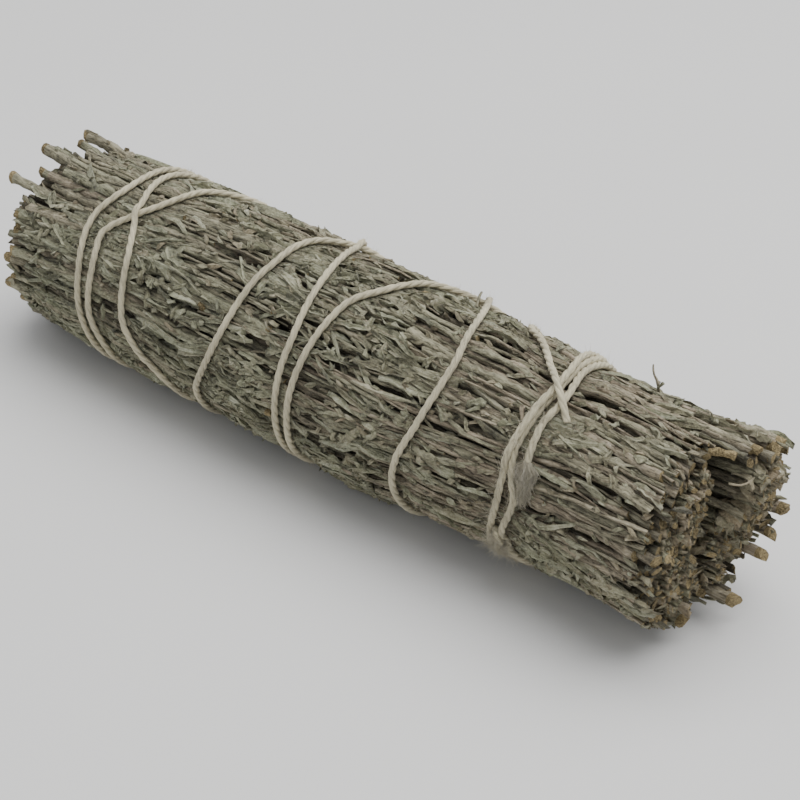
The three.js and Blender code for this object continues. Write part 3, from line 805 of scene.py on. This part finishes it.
def leafiness(x, angle):
    """Low where stems show and up to 1 where leaves cover them."""
    across, up = LEAFY_ROUND * math.cos(angle), LEAFY_ROUND * math.sin(angle)
    patch = noise.noise(Vector((x / LEAFY_LENGTH, across, up)))
    low = 0.5 - 0.5 * math.sin(angle)
    bare = smooth((x - BARE_FROM) / BARE_FADE) * (1 - 0.6 * low)
    return clamp(0.4 + 0.45 * low + 1.3 * patch - 0.5 * bare, LEAST_LEAFY)


def brownness(rng, x):
    """Sprigs are greener towards the ragged end."""
    return clamp(rng.uniform(0.25, 1) * lerp(0.65, 1.15, smooth((x - BROWN_FROM) / BROWN_FADE)))


DEEP_STEMS = 6
SURFACE_STEMS = 15
LONE = {"knobs": 0.1, "rise": 1.1 * MM, "sway": 0.3 * MM, "sides": 9, "step": 1.4 * MM,
        "rough": 0.24, "bare_tips": True}
SPOON_SHARE = 0.1


def outer_sprig(index, settings):
    """One leafy sprig: woody stems, twigs, leaves in clusters and crumbs of leaf."""
    rng = random.Random(SEED + index)
    lane = Lane(index, OUTER_COUNT)
    growth = Growth()
    width = lane.width(0, 0)
    radius = settings.stem_radius
    thickness = settings.leaf_thickness
    buds = []

    def tips(across, depth):
        angle = lane.angle + across / BUNDLE_RADIUS
        return ragged_end(angle, depth), butt_end(angle, depth)

    def stem(start, end, across, depth, size, **shape):
        tint = (rng.uniform(0.1, 0.95), brownness(rng, (start + end) / 2))
        buds.extend(
            add_stem(growth, lane, rng, start, end, across, depth, size, tint=tint, **shape))

    for k in range(DEEP_STEMS):
        across = width * ((k + rng.uniform(0.2, 0.8)) / DEEP_STEMS - 0.5)
        depth = rng.uniform(1.9, 3.6) * MM
        ragged, butt = tips(across, depth)
        stem(ragged - rng.gauss(0, 1.5) * MM, butt + rng.gauss(0, 1) * MM, across, depth,
             radius * rng.uniform(0.8, 1.35), rise=0.6 * MM)
    for k in range(SURFACE_STEMS):
        across = width * ((k + rng.uniform(0, 1)) / SURFACE_STEMS - 0.5)
        depth = rng.uniform(0.6, 2) * MM
        ragged, butt = tips(across, depth)
        length = rng.uniform(35, 90) * MM
        kind = rng.random()
        start = rng.uniform(ragged, butt - length)
        if kind < 0.4:
            start = butt - length - abs(rng.gauss(0, 2.5)) * MM
        elif kind < 0.7:
            start = ragged + abs(rng.gauss(0, 2)) * MM
        stem(start, start + length, across, depth, radius * rng.choice((0.55, 0.75, 0.95, 1.3)),
             taper=rng.uniform(0.6, 1.1), drift=rng.gauss(0, 2) * MM, rise=0.3 * MM)
    for degrees, tip, depth, size in LONE_STEMS:
        if lane.holds(degrees):
            across = lane.from_middle(degrees) * BUNDLE_RADIUS
            start = tip - math.copysign(rng.uniform(60, 90), tip)
            low, high = sorted((start * MM, tip * MM))
            stem(low, high, across, depth * MM, 0.88 * size * MM, **LONE)
    for points, *look in STRAYS:
        if lane.holds(points[0][1]):
            add_stray(growth, points, *look)
    for _ in range(settings.twigs):
        across = width * rng.uniform(-0.5, 0.5)
        ragged, butt = tips(across, 0)
        length = rng.uniform(14, 55) * MM
        start = rng.uniform(ragged, butt - length)
        if rng.random() < 0.25:
            start = butt - length
        stem(start, start + length, across, rng.uniform(0, 1.2) * MM,
             rng.uniform(0.22, 0.5) * MM, sides=4, step=2.2 * MM, sway=0.4 * MM,
             drift=rng.gauss(0, 2) * MM, taper=rng.uniform(0.4, 1))
    for x, across, depth, size in buds:
        if rng.random() < 0.6:
            beside = rng.choice((-1, 1))
            add_leaf(growth, lane, rng, x, across + beside * 0.6 * size, depth - 0.6 * size,
                     rng.choice((-1, 1)), beside * rng.uniform(0, 0.5), rng.uniform(1.6, 3.6) * MM,
                     rng.uniform(0.7, 1.3) * MM, thickness,
                     tint=(rng.uniform(0.1, 0.9), rng.uniform(0.2, 1)), **BUD)
    for _ in range(settings.leaf_clusters):
        across = width * rng.uniform(-0.5, 0.5)
        ragged, butt = tips(across, 0)
        x = rng.uniform(ragged + 3 * MM, butt - 3 * MM)
        leafy = leafiness(x, lane.turn(x, across, 0))
        toward = rng.choice((-1, 1))
        room = (butt - x if toward > 0 else x - ragged) + MM
        for _ in range(round(rng.uniform(0.8, 5.6) * leafy)):
            length = min(settings.leaf_length * rng.uniform(0.55, 1.6), room)
            shape = {**NARROW, "widest": rng.uniform(0.3, 0.8), "blunt": rng.uniform(0.4, 1)}
            breadth = settings.leaf_width * rng.uniform(0.55, 1.25)
            if rng.random() < SPOON_SHARE:
                breadth *= 1.7
                shape = SPOON
            add_leaf(growth, lane, rng, x + rng.gauss(0, 1.5) * MM, across + rng.gauss(0, 0.7) * MM,
                     rng.uniform(-0.1, 1.3) * MM, toward, rng.gauss(0, 0.13), length, breadth,
                     thickness, tint=(rng.uniform(0, 1), 0.5 * brownness(rng, x)), **shape)
        for _ in range(round(rng.uniform(0, 6) * leafy)):
            add_leaf(growth, lane, rng, x + rng.gauss(0, 2.4) * MM, across + rng.gauss(0, 1) * MM,
                     rng.uniform(-0.2, 1) * MM, rng.choice((-1, 1)), rng.gauss(0, 0.8),
                     rng.uniform(1.6, 4.2) * MM, rng.uniform(0.8, 1.7) * MM, thickness,
                     tint=(rng.uniform(0.1, 1), 0.6 * brownness(rng, x)), **CRUMB)
    return growth


# Finishes

def new_finish(name, roughness, specular, sheen=0.0):
    material = bpy.data.materials.new(name)
    material.use_nodes = True
    tree = material.node_tree
    tree.nodes.clear()
    shader = tree.nodes.new("ShaderNodeBsdfPrincipled")
    shader.inputs["Roughness"].default_value = roughness
    shader.inputs["Specular IOR Level"].default_value = specular
    shader.inputs["Sheen Weight"].default_value = sheen
    shader.inputs["Sheen Roughness"].default_value = 0.5
    output = tree.nodes.new("ShaderNodeOutputMaterial")
    tree.links.new(shader.outputs["BSDF"], output.inputs["Surface"])
    return material, tree, shader


def attribute(tree, name, part="Color"):
    node = tree.nodes.new("ShaderNodeAttribute")
    node.attribute_type = "GEOMETRY"
    node.attribute_name = name
    if part in node.outputs:
        return node.outputs[part]
    split = tree.nodes.new("ShaderNodeSeparateColor")
    tree.links.new(node.outputs["Color"], split.inputs["Color"])
    return split.outputs[part]


def grain_noise(tree, scale, detail=3, roughness=0.6):
    """Noise on the unbent shape, with its own scale across and along the grain."""
    mapping = tree.nodes.new("ShaderNodeMapping")
    mapping.inputs["Scale"].default_value = scale
    tree.links.new(attribute(tree, "grain", "Vector"), mapping.inputs["Vector"])
    return noise_on(tree, mapping.outputs["Vector"], 1, detail, roughness)


def object_noise(tree, scale, detail=2, roughness=0.5):
    coordinates = tree.nodes.new("ShaderNodeTexCoord")
    return noise_on(tree, coordinates.outputs["Object"], scale, detail, roughness)


def noise_on(tree, vector, scale, detail, roughness):
    node = tree.nodes.new("ShaderNodeTexNoise")
    node.inputs["Scale"].default_value = scale
    node.inputs["Detail"].default_value = detail
    node.inputs["Roughness"].default_value = roughness
    tree.links.new(vector, node.inputs["Vector"])
    return node.outputs["Fac"]


def math_node(tree, operation, first, second, use_clamp=False):
    node = tree.nodes.new("ShaderNodeMath")
    node.operation = operation
    node.use_clamp = use_clamp
    for socket, value in zip(node.inputs, (first, second)):
        if isinstance(value, (int, float)):
            socket.default_value = value
        else:
            tree.links.new(value, socket)
    return node.outputs[0]


def weighed(tree, *parts):
    """0.5 and, for each value, its distance from 0.5 times its weight."""
    total = 0.5 - 0.5 * sum(weight for _, weight in parts)
    for value, weight in parts:
        total = math_node(tree, "ADD", math_node(tree, "MULTIPLY", value, weight), total)
    return total


def ramp(tree, factor, stops):
    node = tree.nodes.new("ShaderNodeValToRGB")
    elements = node.color_ramp.elements
    while len(elements) < len(stops):
        elements.new(0.5)
    for element, (position, colour) in zip(elements, stops):
        element.position = position
        element.color = (*colour, 1)
    tree.links.new(factor, node.inputs["Fac"])
    return node.outputs["Color"]


def mix(tree, factor, first, second):
    node = tree.nodes.new("ShaderNodeMix")
    node.data_type = "RGBA"
    sockets = (node.inputs[0], node.inputs[6], node.inputs[7])
    for socket, value in zip(sockets, (factor, first, second)):
        if isinstance(value, (int, float)):
            socket.default_value = value
        elif isinstance(value, tuple):
            socket.default_value = (*value, 1)
        else:
            tree.links.new(value, socket)
    return node.outputs[2]


def bump(tree, height, strength, distance, below=None):
    node = tree.nodes.new("ShaderNodeBump")
    node.inputs["Strength"].default_value = strength
    node.inputs["Distance"].default_value = distance
    tree.links.new(height, node.inputs["Height"])
    if below:
        tree.links.new(below, node.inputs["Normal"])
    return node.outputs["Normal"]


def shade(colour, factor):
    return tuple(clamp(c * factor) for c in colour)


def shades(colour, *stops):
    """Stops for a ramp, each a position and how light the colour is there."""
    return [(position, shade(colour, factor)) for position, factor in stops]


def blend_colours(first, second, share):
    return tuple(lerp(a, b, share) for a, b in zip(first, second))


# The dark brown of the painted shade deep in the bundle.
PAINTED_SHADE_COLOUR = paint(44, 40, 31)
DRY_LEAF = paint(168, 152, 124)
PALE_LEAF = (0.62, 0.62, 0.56)
PALE_BARK = (0.64, 0.6, 0.52)
FLUFF_WHITE = paint(236, 228, 206)


def painted_depth_shade(tree, colour, amount=0.8):
    """Painted shade: the colour darkens towards a dark brown deep in the bundle."""
    deep = attribute(tree, "tint", "Blue")
    share = math_node(tree, "MULTIPLY", deep, amount)
    return mix(tree, share, colour, PAINTED_SHADE_COLOUR)


def leaf_finish(settings):
    material, tree, shader = new_finish("sage_leaf", 0.9, 0.15, sheen=0.2)
    green = tuple(settings.leaf_colour)
    veins = grain_noise(tree, (2400, 2400, 300), 4, 0.65)
    crinkles = object_noise(tree, 1300, 4, 0.65)
    patches = object_noise(tree, 170, 3)
    tone = attribute(tree, "tint", "Red")
    value = weighed(tree, (veins, 1.35), (crinkles, 1.0), (tone, 0.34), (patches, 0.6))
    colour = ramp(tree, value, [
        *shades(green, (0.16, 0.3), (0.4, 0.78), (0.6, 1.12)),
        (0.86, blend_colours(shade(green, 1.5), PALE_LEAF, 0.4)),
    ])
    browned = attribute(tree, "tint", "Green")
    browned = math_node(tree, "MULTIPLY", browned, math_node(tree, "ADD", patches, 0.3), True)
    dry = mix(tree, value, shade(DRY_LEAF, 0.45), shade(DRY_LEAF, 1.35))
    colour = mix(tree, browned, colour, dry)
    # Painted shade darkens the leaf colour deep in the bundle.
    tree.links.new(painted_depth_shade(tree, colour), shader.inputs["Base Color"])
    normal = bump(tree, veins, 1.0, 0.6 * MM)
    tree.links.new(bump(tree, crinkles, 1.0, 0.7 * MM, normal), shader.inputs["Normal"])
    return material


def bark_finish(settings):
    material, tree, shader = new_finish("sage_bark", 0.92, 0.12, sheen=0.1)
    brown = tuple(settings.bark_colour)
    green = tuple(settings.leaf_colour)
    fibres = grain_noise(tree, (2000, 2000, 230), 5, 0.68)
    scars = grain_noise(tree, (900, 900, 450), 3)
    tone = attribute(tree, "tint", "Red")
    value = weighed(tree, (fibres, 1.7), (tone, 0.32), (scars, 1.0))
    colour = ramp(tree, value, [
        *shades(brown, (0.16, 0.24), (0.4, 0.72), (0.6, 1.08)),
        (0.88, blend_colours(shade(brown, 1.45), PALE_BARK, 0.3)),
    ])
    greened = math_node(tree, "SUBTRACT", 1.0, attribute(tree, "tint", "Green"))
    greened = math_node(tree, "MULTIPLY", greened, 0.9, True)
    tinted = ramp(tree, value, shades(green, (0.16, 0.3), (0.5, 0.92), (0.88, 1.4)))
    colour = mix(tree, greened, colour, tinted)
    # Painted shade darkens the bark colour deep in the bundle.
    tree.links.new(painted_depth_shade(tree, colour), shader.inputs["Base Color"])
    normal = bump(tree, fibres, 1.0, 0.9 * MM)
    tree.links.new(bump(tree, scars, 1.0, 1.1 * MM, normal), shader.inputs["Normal"])
    return material


def cut_finish(settings):
    material, tree, shader = new_finish("cut_wood", 0.85, 0.15)
    tan = tuple(settings.cut_colour)
    pores = grain_noise(tree, (3200, 3200, 3200), 3)
    value = weighed(tree, (pores, 1.6), (attribute(tree, "tint", "Red"), 0.5))
    colour = ramp(tree, value, shades(tan, (0.15, 0.25), (0.46, 0.7), (0.66, 1.0), (0.92, 1.45)))
    # A lighter painted shade darkens the cut wood deep in the bundle.
    tree.links.new(painted_depth_shade(tree, colour, 0.25), shader.inputs["Base Color"])
    tree.links.new(bump(tree, pores, 1.0, 0.8 * MM), shader.inputs["Normal"])
    return material


def yarn_finish(settings):
    material, tree, shader = new_finish("cotton_yarn", 0.95, 0.1, sheen=0.2)
    cream = tuple(settings.colour)
    fibres = grain_noise(tree, (4200, 4200, 420), 4, 0.7)
    soiled = object_noise(tree, 110, 3)
    value = weighed(tree, (fibres, 1.2), (soiled, 0.9), (attribute(tree, "tint", "Red"), 0.8))
    creams = shades(cream, (0.15, 0.55), (0.42, 0.9), (0.76, 1.15))
    colour = ramp(tree, value, [*creams, (0.95, FLUFF_WHITE)])
    tree.links.new(colour, shader.inputs["Base Color"])
    tree.links.new(bump(tree, fibres, 1.0, 0.3 * MM), shader.inputs["Normal"])
    return material


finishes = {}


def herb_finishes():
    """The finishes of leaf, bark and cut wood, in that order, made once."""
    if "herb" not in finishes:
        settings = bpy.context.scene.stick_sprigs
        finishes["herb"] = [leaf_finish(settings), bark_finish(settings), cut_finish(settings)]
    return finishes["herb"]


# The inner bunches

CORE_COLUMNS = 5
CORE_STEPS = 18
CORE_GAP = 0.2 * MM
RAGGED_BODY_X = -82 * MM
REAR_BODY_X = 90 * MM
FRONT_BODY_X = 85 * MM
INNER_STEM_LENGTH = 6 * MM
INNER_STEM = {"step": 4 * MM, "sway": 0.35 * MM, "knobs": 0.25, "free": True}


def add_core(growth, lane, top, bottom, start, end):
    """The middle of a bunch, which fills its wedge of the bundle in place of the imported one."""
    mesh = blade(CORE_COLUMNS, CORE_STEPS)

    def bend(u, v, w):
        x = lerp(start, end, v)
        depth = lerp(top, bottom, 0.5 - w)
        gap = u * CORE_GAP / (bundle_radius(x) - depth)
        angle = wander(x, lane.angle + u * lane.half_angle) - gap
        # The core gets full painted shade, a dark sheet that shows as the dark gaps between the
        # stems.
        return place(x, angle, depth, lane.side), Vector((u * 4 * MM, w * MM, x)), 1.0

    growth.add(mesh, bend, (0.2, 0.8))


def inner_bunch(index, count, top, bottom, rows, settings):
    """A bunch of stems inside the stick, with their cut ends at both ends of it."""
    rng = random.Random(SEED + 100 * count + index)
    lane = Lane(index, count)
    growth = Growth()
    body_start = RAGGED_BODY_X + rng.uniform(4, 8) * MM
    body_end = (REAR_BODY_X if lane.side > 0 else FRONT_BODY_X) - rng.uniform(9, 12) * MM
    add_core(growth, lane, top, bottom, body_start, body_end)

    def fill(inside, limit, spacing, jitter, sizes, scraps):
        for depth in (row * MM for row in rows):
            room = lane.width(inside, depth)
            number = max(1, round(room / spacing))
            for k in range(number):
                across = room * ((k + rng.uniform(0.2, 0.8)) / number - 0.5)
                deep = depth + rng.uniform(-0.5, 0.5) * MM
                tip = limit(lane.turn(inside, across, deep), deep) + rng.gauss(0, jitter) * MM
                start = inside - math.copysign(INNER_STEM_LENGTH, inside)
                low, high = sorted((start, clamp(tip, RAGGED_TIP_X, BUTT_TIP_X)))
                add_stem(growth, lane, rng, low, high, across, deep, rng.uniform(*sizes) * MM,
                         tint=(rng.uniform(0.1, 0.9), rng.uniform(0.2, 1)), **INNER_STEM)
                for _ in range(scraps):
                    length = rng.uniform(1.5, 6) * MM
                    toward = math.copysign(1, inside)
                    add_leaf(growth, lane, rng, tip - toward * (length + rng.gauss(0.4, 0.6) * MM),
                             across + rng.gauss(0, 0.7) * MM, deep + rng.gauss(0, 0.7) * MM, toward,
                             rng.gauss(0, 0.25), length, rng.uniform(0.8, 1.8) * MM,
                             settings.leaf_thickness,
                             tint=(rng.uniform(0.3, 1), rng.uniform(0.5, 1.2)), **SCRAP)

    fill(body_start, ragged_end, spacing=2.1 * MM, jitter=1.6, sizes=(0.6, 1.25), scraps=1)
    fill(body_end, butt_end, spacing=1.5 * MM, jitter=0.8, sizes=(0.45, 0.9), scraps=3)
    return growth


# The string

def frames_along(centres, outwards):
    """Centre, along, across and outward direction at each step of a strand."""
    frames = []
    last = len(centres) - 1
    for k, (centre, outward) in enumerate(zip(centres, outwards)):
        along = (centres[min(k + 1, last)] - centres[max(k - 1, 0)]).normalized()
        across = along.cross(outward).normalized()
        frames.append((centre, along, across, across.cross(along)))
    return frames


def outward_at(angle):
    return Vector((0, math.cos(angle), math.sin(angle)))


def string_frames(route, tuck=0.0):
    centres = []
    for k, here in enumerate(route):
        ending = smooth(1 - (len(route) - 1 - k) * ROUTE_STEP / TUCK_LENGTH)
        depth = STRING_DEPTH - here["lift"] + tuck * ending
        centres.append(place(here["x"], here["angle"], depth))
    return frames_along(centres, [outward_at(here["angle"]) for here in route])


KNOT_STEPS = 54


def knot_frames():
    """The knot: one strand drawn round itself three times."""
    centres = []
    outwards = []
    for k in range(KNOT_STEPS + 1):
        t = TURN * k / KNOT_STEPS
        along = (math.sin(t) + 2 * math.sin(2 * t)) / 3 * (KNOT_LENGTH / 2 - 0.5 * MM)
        around = (math.cos(t) - 2 * math.cos(2 * t)) / 3 * (KNOT_WIDTH / 2 - 0.7 * MM)
        x = KNOT_X + along
        angle = KNOT_ANGLE + around / BUNDLE_RADIUS
        centres.append(place(x, angle, STRING_DEPTH - 0.3 * MM + math.sin(3 * t) * 0.8 * MM))
        outwards.append(outward_at(angle))
    return frames_along(centres, outwards)


PLIES = 3
PLY_ORBIT = 0.28 * MM
PLY_RADIUS = 0.46 * MM
PLY_SIDES = 7


def add_yarn(growth, frames, pitch, rng, size=1.0):
    """Three plies twisted round each other along a strand."""
    steps = len(frames) - 1
    for ply in range(PLIES):
        offset = Vector((rng.uniform(0, 1), rng.uniform(0, 1), 0))
        phase = TURN * ply / PLIES

        def bend(u, v, along):
            k = round(along * steps)
            centre, _, across, outward = frames[k]
            turn = TURN * k * ROUTE_STEP / pitch + phase
            orbit = size * PLY_ORBIT * (math.cos(turn) * across + math.sin(turn) * outward)
            uneven = 1 + 0.1 * noise.noise(Vector((k * 0.23, ply * 7.1, 0)))
            point = centre + orbit + size * PLY_RADIUS * uneven * (u * across + v * outward)
            point.z = max(point.z, TABLE_GAP)
            return point, offset + Vector((u * MM / 2, v * MM / 2, k * ROUTE_STEP)), 0

        growth.add(thread(steps, PLY_SIDES), bend, (0.5, 0.5))


FIBRE_RADIUS = 0.028 * MM
FLUFF_RADIUS = 0.036 * MM
FLUFF_TONE = 1.3
FUZZ_ROOT = 0.68 * MM
FRAYED_FIBRES = 650
KNOT_FIBRES = 1100


def add_fibre(growth, rng, root, direction, length, radius=FIBRE_RADIUS, tone=0.5):
    """One loose cotton fibre, bent as it leaves the yarn."""
    any_way = Vector((rng.gauss(0, 1), rng.gauss(0, 1), rng.gauss(0, 1)))
    side = direction.cross(any_way).normalized()
    other = direction.cross(side)
    bow = rng.gauss(0, 0.35) * length
    droop = rng.gauss(0, 0.25) * length

    def bend(u, v, along):
        centre = root + direction * along * length + (side * bow + other * droop) * along ** 2
        size = radius * (1 - 0.7 * along)
        point = centre + size * (u * side + v * other)
        point.z = max(point.z, TABLE_GAP)
        return point, Vector((u, v, along)) * MM, 0

    growth.add(thread(3), bend, (tone, 0.5))


def add_frayed_end(growth, rng):
    """The first ring's end opens into a soft, rounded tuft."""
    for _ in range(FRAYED_FIBRES):
        lean = rng.gauss(0, 0.5)
        reach = FRAY_LENGTH * rng.uniform(0.3, 1) * (1 - 0.35 * min(lean * lean, 1.6))
        depth = STRING_DEPTH + rng.gauss(0, 0.3) * MM
        waves = [rng.gauss(0, 0.6) * MM for _ in range(2)]
        phase = rng.uniform(0, TURN)
        lift = rng.gauss(0.3, 0.6) * MM
        size = rng.uniform(0.03, 0.065) * MM
        offset = random_offset(rng)

        def bend(u, v, along):
            closing = 1 - 0.55 * smooth((along - 0.55) / 0.45)
            opened = lean * closing * lerp(0.5 * STRING_RADIUS, FRAY_SPREAD, smooth(1.8 * along))
            opened += along * waves[0] * math.sin(5 * along + phase)
            opened += along * waves[1] * math.sin(11 * along)
            x = FRAY_X + FRAY_DRIFT * along + opened + u * size
            angle = FRAY_ANGLE + (along * reach - MM) / BUNDLE_RADIUS
            deep = depth - v * size - lift * along - 0.5 * MM * math.sin(math.pi * along)
            return place(x, angle, deep), offset + Vector((u, v, 8 * along)) * MM, 0

        growth.add(thread(6), bend, (rng.uniform(0.5, FLUFF_TONE), 0.5))


def add_knot_fluff(growth, rng, knotted, beside):
    """Loose fibres lie in a soft cloud over the knot and on the strands beside it."""
    for k in range(KNOT_FIBRES):
        near_knot = k % 2 == 0
        centre, along, across, outward = rng.choice(knotted if near_knot else beside)
        spread = 1 if near_knot else 0.35
        direction = along * rng.gauss(0, 1) + across * rng.gauss(0, spread)
        direction += outward * rng.uniform(0, 0.5) * spread
        root = centre + outward * rng.uniform(0.3, 0.8) * MM + across * rng.gauss(0, 0.35) * MM
        length = rng.uniform(1, 3) * MM
        tone = rng.uniform(0.6, FLUFF_TONE)
        add_fibre(growth, rng, root, direction.normalized(), length, FLUFF_RADIUS, tone)


def cotton_string(settings):
    rng = random.Random(SEED + 7)
    growth = Growth()
    first = string_frames(first_ring)
    second = string_frames(spiral, TUCK_DEPTH)
    knotted = knot_frames()
    add_yarn(growth, first, settings.ply_pitch, rng)
    add_yarn(growth, second, settings.ply_pitch, rng)
    add_yarn(growth, knotted, settings.ply_pitch, rng, 0.85)
    add_frayed_end(growth, rng)
    every = first + second
    fuzzy = [rng.choice(every) for _ in range(settings.fuzz)]
    beside = [frame for frame in every if frame[0].x > 52 * MM and frame[0].y < -11 * MM]
    add_knot_fluff(growth, rng, knotted, beside)
    for centre, along, across, outward in fuzzy:
        turn = rng.uniform(-0.4, math.pi + 0.4)
        out = math.cos(turn) * across + math.sin(turn) * outward
        direction = (out + along * rng.gauss(0, 1.1)).normalized()
        root = centre + out * FUZZ_ROOT
        add_fibre(growth, rng, root, direction, rng.uniform(0.4, 1.4) * MM)
    return growth


# The stage

ORBIT_CENTRE = Vector((12 * MM, 0, 21.5 * MM))
CAMERA_AIM = Vector((14.3 * MM, -0.3 * MM, 18.5 * MM))
CAMERA_AZIMUTH = math.radians(42.9)
CAMERA_ELEVATION = math.radians(31.22)
CAMERA_DISTANCE = 401.5 * MM
CAMERA_LENS = 90.0
SENSOR_WIDTH = 36
FLOOR_HALF_WIDTH = 3
LIGHT_PLACE = (0.2, 0.25, 0.95)
LIGHT_SIZE = 1.1
SKY_COLOUR = (0.95, 0.97, 1)
SKY_STRENGTH = 0.65


def turned_to(aim, location):
    return (aim - location).to_track_quat("-Z", "Y").to_euler()


def set_camera():
    back = Vector((
        math.sin(CAMERA_AZIMUTH) * math.cos(CAMERA_ELEVATION),
        -math.cos(CAMERA_AZIMUTH) * math.cos(CAMERA_ELEVATION),
        math.sin(CAMERA_ELEVATION)))
    data = bpy.data.cameras.new("camera")
    data.lens = CAMERA_LENS
    data.sensor_width = SENSOR_WIDTH
    data.clip_start = 0.01
    data.clip_end = 20
    camera = linked("camera", data)
    camera.location = ORBIT_CENTRE + back * CAMERA_DISTANCE
    camera.rotation_euler = turned_to(CAMERA_AIM, camera.location)
    bpy.context.scene.camera = camera


def add_light(name, location, size, power):
    data = bpy.data.lights.new(name, "AREA")
    data.size = size
    data.energy = power
    light = linked(name, data)
    light.location = location
    light.rotation_euler = turned_to(ORBIT_CENTRE, Vector(location))


class STICK_OT_stage(bpy.types.Operator):
    """Camera, pale floor and soft light"""
    bl_idname = "smudge_stick.stage"
    bl_label = "Stage"

    def execute(self, context):
        settings = context.scene.stick_stage
        set_camera()
        bm = bmesh.new()
        bmesh.ops.create_grid(bm, x_segments=1, y_segments=1, size=FLOOR_HALF_WIDTH)
        material, tree, shader = new_finish("floor_board", 0.6, 0.3)
        cloudy = object_noise(tree, 6, 3)
        pale = tuple(settings.floor_colour)
        colour = ramp(tree, cloudy, shades(pale, (0.3, 0.97), (0.7, 1)))
        tree.links.new(colour, shader.inputs["Base Color"])
        floor = linked_mesh("floor", bm, [material])
        add_light("overhead", LIGHT_PLACE, LIGHT_SIZE, settings.light_power)
        world = bpy.data.worlds.new("studio")
        world.use_nodes = True
        background = world.node_tree.nodes["Background"]
        background.inputs["Color"].default_value = (*SKY_COLOUR, 1)
        background.inputs["Strength"].default_value = SKY_STRENGTH
        context.scene.world = world
        return {"FINISHED"}


class STICK_OT_outer_sprigs(bpy.types.Operator):
    """The leafy sprigs round the outside of the stick"""
    bl_idname = "smudge_stick.outer_sprigs"
    bl_label = "Outer sprigs"

    def execute(self, context):
        for index in range(OUTER_COUNT):
            name = f"sprig_outer_{index + 1:02d}"
            growth = outer_sprig(index, context.scene.stick_sprigs)
            growth.finish(f"leafy_sprig_{index + 1:02d}", herb_finishes(), name, "leafy_sprig")
        return {"FINISHED"}


class STICK_OT_inner_bunches(bpy.types.Operator):
    """The stems inside the stick, which show at its two ends"""
    bl_idname = "smudge_stick.inner_bunches"
    bl_label = "Inner bunches"

    def execute(self, context):
        # Each layer's nodes and how many, how deep its core reaches, and its rows of stems
        layers = (
            ("stems_inner", INNER_COUNT, 4.4 * MM, 11.2 * MM, (5, 6.7, 8.4, 10.1)),
            ("stems_core", CORE_COUNT, 12 * MM, 18.2 * MM, (11.8, 13.4, 15, 16.5, 18)),
        )
        for layer, count, top, bottom, rows in layers:
            for index in range(count):
                node = f"{layer}_{index + 1:02d}"
                growth = inner_bunch(index, count, top, bottom, rows, context.scene.stick_sprigs)
                growth.finish(f"cut_{node}", herb_finishes(), node, "woody_stem")
        return {"FINISHED"}


class STICK_OT_string(bpy.types.Operator):
    """The cotton string that binds the stick"""
    bl_idname = "smudge_stick.string"
    bl_label = "Cotton string"

    def execute(self, context):
        growth = cotton_string(context.scene.stick_string)
        yarn = yarn_finish(context.scene.stick_string)
        growth.finish("twisted_string", [yarn], "string", "cotton_string")
        return {"FINISHED"}


class STICK_PT_panel(bpy.types.Panel):
    bl_label = "Smudge Stick"
    bl_idname = "STICK_PT_panel"
    bl_space_type = "VIEW_3D"
    bl_region_type = "UI"
    bl_category = "Smudge Stick"

    def draw(self, context):
        layout = self.layout
        groups = (context.scene.stick_sprigs, context.scene.stick_string, context.scene.stick_stage)
        for group in groups:
            for name in group.__annotations__:
                layout.prop(group, name)
        for operator in OPERATORS:
            layout.operator(operator.bl_idname)


OPERATORS = (STICK_OT_stage, STICK_OT_outer_sprigs, STICK_OT_inner_bunches, STICK_OT_string)
CLASSES = (SprigSettings, StringSettings, StageSettings, *OPERATORS, STICK_PT_panel)


def register():
    for cls in CLASSES:
        bpy.utils.register_class(cls)
    bpy.types.Scene.stick_sprigs = bpy.props.PointerProperty(type=SprigSettings)
    bpy.types.Scene.stick_string = bpy.props.PointerProperty(type=StringSettings)
    bpy.types.Scene.stick_stage = bpy.props.PointerProperty(type=StageSettings)


def unregister():
    del bpy.types.Scene.stick_sprigs
    del bpy.types.Scene.stick_string
    del bpy.types.Scene.stick_stage
    for cls in reversed(CLASSES):
        bpy.utils.unregister_class(cls)


def main():
    register()
    bpy.ops.smudge_stick.stage()
    bpy.ops.smudge_stick.outer_sprigs()
    bpy.ops.smudge_stick.inner_bunches()
    bpy.ops.smudge_stick.string()
    for mesh in templates.values():
        bpy.data.meshes.remove(mesh)


if __name__ == "__main__":
    main()
